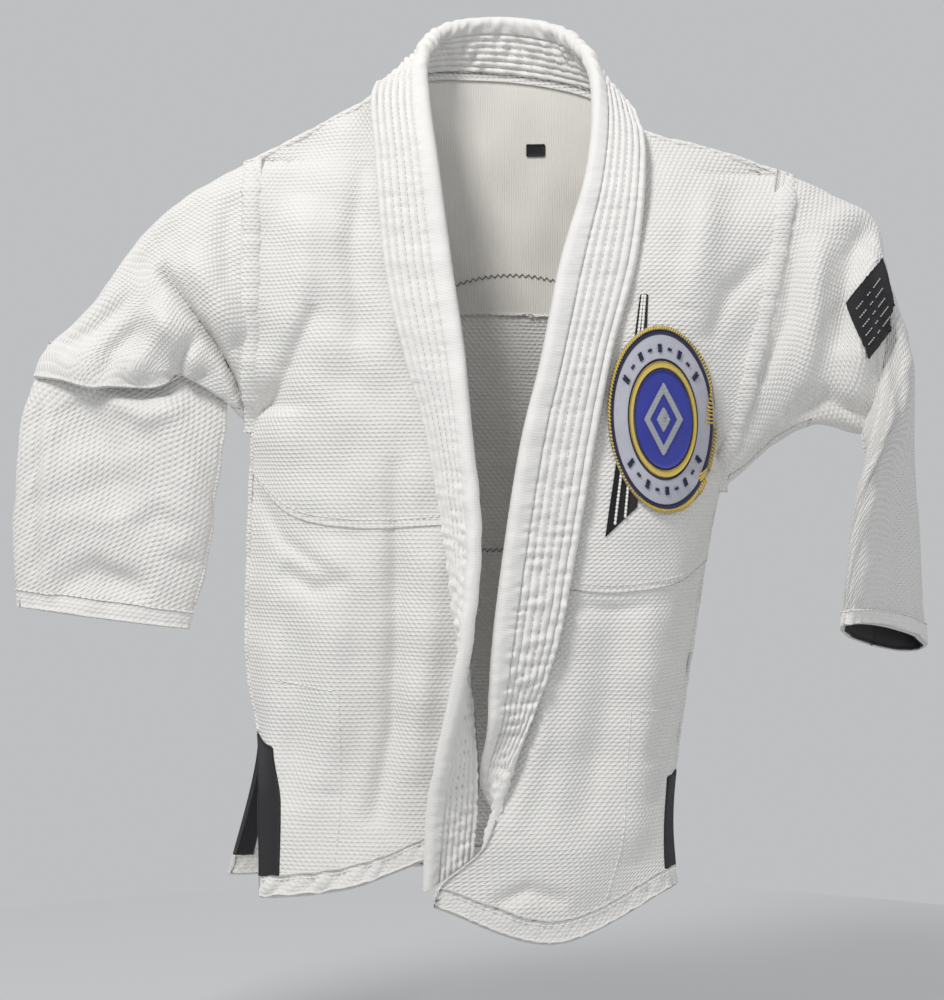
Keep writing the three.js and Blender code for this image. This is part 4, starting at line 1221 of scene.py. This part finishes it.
def make_badge(chest):
    """The striped patch on the left chest, and the round badge in layers over it."""
    skin = Skin(chest)
    corners = [(78, -121), (82, -121), (75, -244), (57, -261)]
    under = label_patch("badge_under_patch_cloth", skin, corners, LABEL, 0.8, 0.6)
    stripes = []
    for share in (0.28, 0.62):
        top = np.array(corners[0]) * (1 - share) + np.array(corners[1]) * share
        low = np.array(corners[3]) * (1 - share) + np.array(corners[2]) * share
        stripes.append(Skin(under).lay(between([top, low], 1.0), 0.3))
    striped = stitches("badge_patch_stripes", stripes, THREAD, length=2.2, gap=0.05, radius=0.85)
    base = badge_layer("badge_twill", skin, 0.02, 0.97, 2.0, 1.0, BADGE_GREY)
    top = Skin(base)
    edge = merrow("badge_merrow_edge", top, 0.975, 0.6, 0.62, BADGE_GOLD)
    rim = badge_layer("badge_navy_line", top, 0.89, 0.93, 0.2, 0.7, BADGE_NAVY)
    inner_dark = badge_layer("badge_inner_line", top, 0.50, 0.63, 0.15, 0.6, BADGE_NAVY)
    inner = badge_layer("badge_inner_gold", top, 0.54, 0.60, 0.6, 0.9, BADGE_GOLD)
    centre = badge_layer("badge_blue_centre", top, 0.02, 0.51, 0.5, 1.0, BADGE_BLUE)
    marks = make_marks(top)
    motif = make_motif(Skin(centre))
    parts = {
        under: ("label_cloth", ["badge_under_patch"]), striped: ("white_cloth", []),
        base: ("badge_grey", ["badge_base", "badge_ring"]), edge: ("badge_gold", ["badge_edge"]),
        rim: ("badge_blue", []), inner_dark: ("badge_blue", []),
        inner: ("badge_gold", ["badge_inner_edge"]), centre: ("badge_blue", ["badge_centre"]),
        marks: ("badge_blue", []), motif: ("badge_silver", ["badge_motif"]),
    }
    for piece, (slot, nodes) in parts.items():
        bend(piece, "left_front", slot, *nodes)


def make_marks(skin):
    """Plain embroidered bars round the ring, in place of any lettering."""
    lines = []
    for centre in (0, math.pi):
        for k in range(-4, 5):
            turn = centre + k * 0.24
            ends = (0.70, 0.82) if k % 2 == 0 else (0.73, 0.79)
            for shift in (-0.022, 0.022):
                line = [badge_place(share, turn + shift) for share in ends]
                lines.append(skin.lay(between(line, 0.7), 0.35))
    return stitches("badge_ring_marks", lines, BADGE_NAVY, length=1.6, gap=0.0, radius=0.75)


def make_motif(skin):
    """A plain diamond inside a diamond, in rows of silver satin stitch."""
    lines = []
    cx, cz = BADGE_CENTRE
    for z in np.arange(-21, 21.1, 0.8):
        outer = 11.5 * (1 - abs(z) / 22)
        hollow = max(0.0, 7.8 * (1 - abs(z) / 15))
        core = max(0.0, 4.2 * (1 - abs(z) / 8))
        parts = [(-outer, -hollow), (hollow, outer)] if hollow else [(-outer, outer)]
        if core > 0.6:
            parts.append((-core, core))
        for left, right in parts:
            if right - left > 1.2:
                lines.append(skin.lay(between([(cx + left, cz + z), (cx + right, cz + z)], 0.5), 0.3))
    return threads("badge_diamond_motif", lines, BADGE_SILVER, radius=0.46)


# ---- Seams between panels ----


def make_joins(back, fronts):
    """Felled ridges over the shoulder, side and armhole seams."""
    pieces = []
    for side, column in (("right", 0), ("left", -1)):
        front, marks = fronts[side]["grid"], fronts[side]["marks"]
        armpit, vent = marks[FRONTS[side]["armpit"]], marks[VENT_MARK]
        seam = front[armpit : vent + 1, 0]
        outward = (-1 if side == "right" else 1, 0, 0)
        pieces.append(ridge(f"{side}_side_seam", seam, 6, 1.9, BODY_WEAVE, up=outward))
        shoulder = front[0, :] + np.array([0, 0.4, -0.6])
        pieces.append(ridge(f"{side}_shoulder_seam", shoulder, 7, 2.4, BODY_WEAVE, up=(0, 0, 1)))
        front_edge = front[: armpit + 1, 0] + np.array([0, -0.4, 0])
        back_armpit = int(np.argmin(np.abs(back[:, column, 2] - front_edge[-1, 2])))
        back_edge = back[: back_armpit + 1, column] + np.array([0, 1.0, 0])
        loop = np.concatenate([front_edge[::-1], back_edge[1:]])
        pieces.append(ridge(f"{side}_armhole_seam", loop, 12, 2.7, BODY_WEAVE))
    for piece in pieces:
        fixed(piece, "coat_body", "white_cloth")


# ---- Stage ----


def area_light(name, place, aim, size, power, color=(1, 1, 1)):
    """A square light at a place, turned towards its aim."""
    light = bpy.data.lights.new(name, "AREA")
    light.size = size
    light.energy = power
    light.color = color
    lamp = bpy.data.objects.new(name, light)
    lamp.location = place
    lamp.rotation_euler = (Vector(aim) - Vector(place)).to_track_quat("-Z", "Y").to_euler()
    bpy.context.scene.collection.objects.link(lamp)


CAMERA_AIM = (-0.02, 0, -0.24)
CAMERA_AWAY = 1.25
CAMERA_LENS = 79.45
LIGHTS_AIM = (0, 0, -0.25)
FLOOR_RADIUS = 0.8
FLOOR_DROP = 0.12  # below the jacket, which hangs clear of it


def make_stage():
    """The camera, a plain floor and soft studio light."""
    camera = bpy.data.cameras.new("camera")
    camera.sensor_fit = "HORIZONTAL"
    camera.sensor_width = 36
    camera.lens = CAMERA_LENS
    view = bpy.data.objects.new("camera", camera)
    view.location = Vector(CAMERA_AIM) - Vector((0, CAMERA_AWAY, 0))
    view.rotation_euler = (math.pi / 2, 0, 0)
    bpy.context.scene.collection.objects.link(view)
    bpy.context.scene.camera = view
    centre = (0, 0, CAD_BOX[0][2] - FLOOR_DROP)
    bpy.ops.mesh.primitive_circle_add(vertices=96, radius=FLOOR_RADIUS, fill_type="NGON", location=centre)
    floor = bpy.context.object
    floor.name = "floor"
    paint = Paint("floor_paint", (0.59, 0.594, 0.602), 0.95)
    floor.data.materials.append(paint.material)
    world = bpy.data.worlds.new("studio")
    world.use_nodes = True
    background = world.node_tree.nodes["Background"]
    background.inputs["Color"].default_value = (0.76, 0.77, 0.79, 1)
    background.inputs["Strength"].default_value = 0.68
    bpy.context.scene.world = world
    area_light("key", (-0.7, -1.1, 1.2), LIGHTS_AIM, 0.4, 21, (1.0, 0.985, 0.96))
    area_light("fill", (1.3, -1.4, 0.2), LIGHTS_AIM, 1.2, 1.5, (0.96, 0.98, 1.0))
    area_light("rim", (0.4, 1.4, 1.0), (0, 0, -0.2), 1.0, 6)
    bpy.context.scene.view_settings.view_transform = "Standard"


def main():
    back = make_back()
    fronts = {side: make_front(side) for side in FRONTS}
    make_badge(fronts["left"]["chest"])
    make_band()
    for side in SLEEVES:
        make_sleeve(side)
    make_joins(back, fronts)
    make_stage()


main()
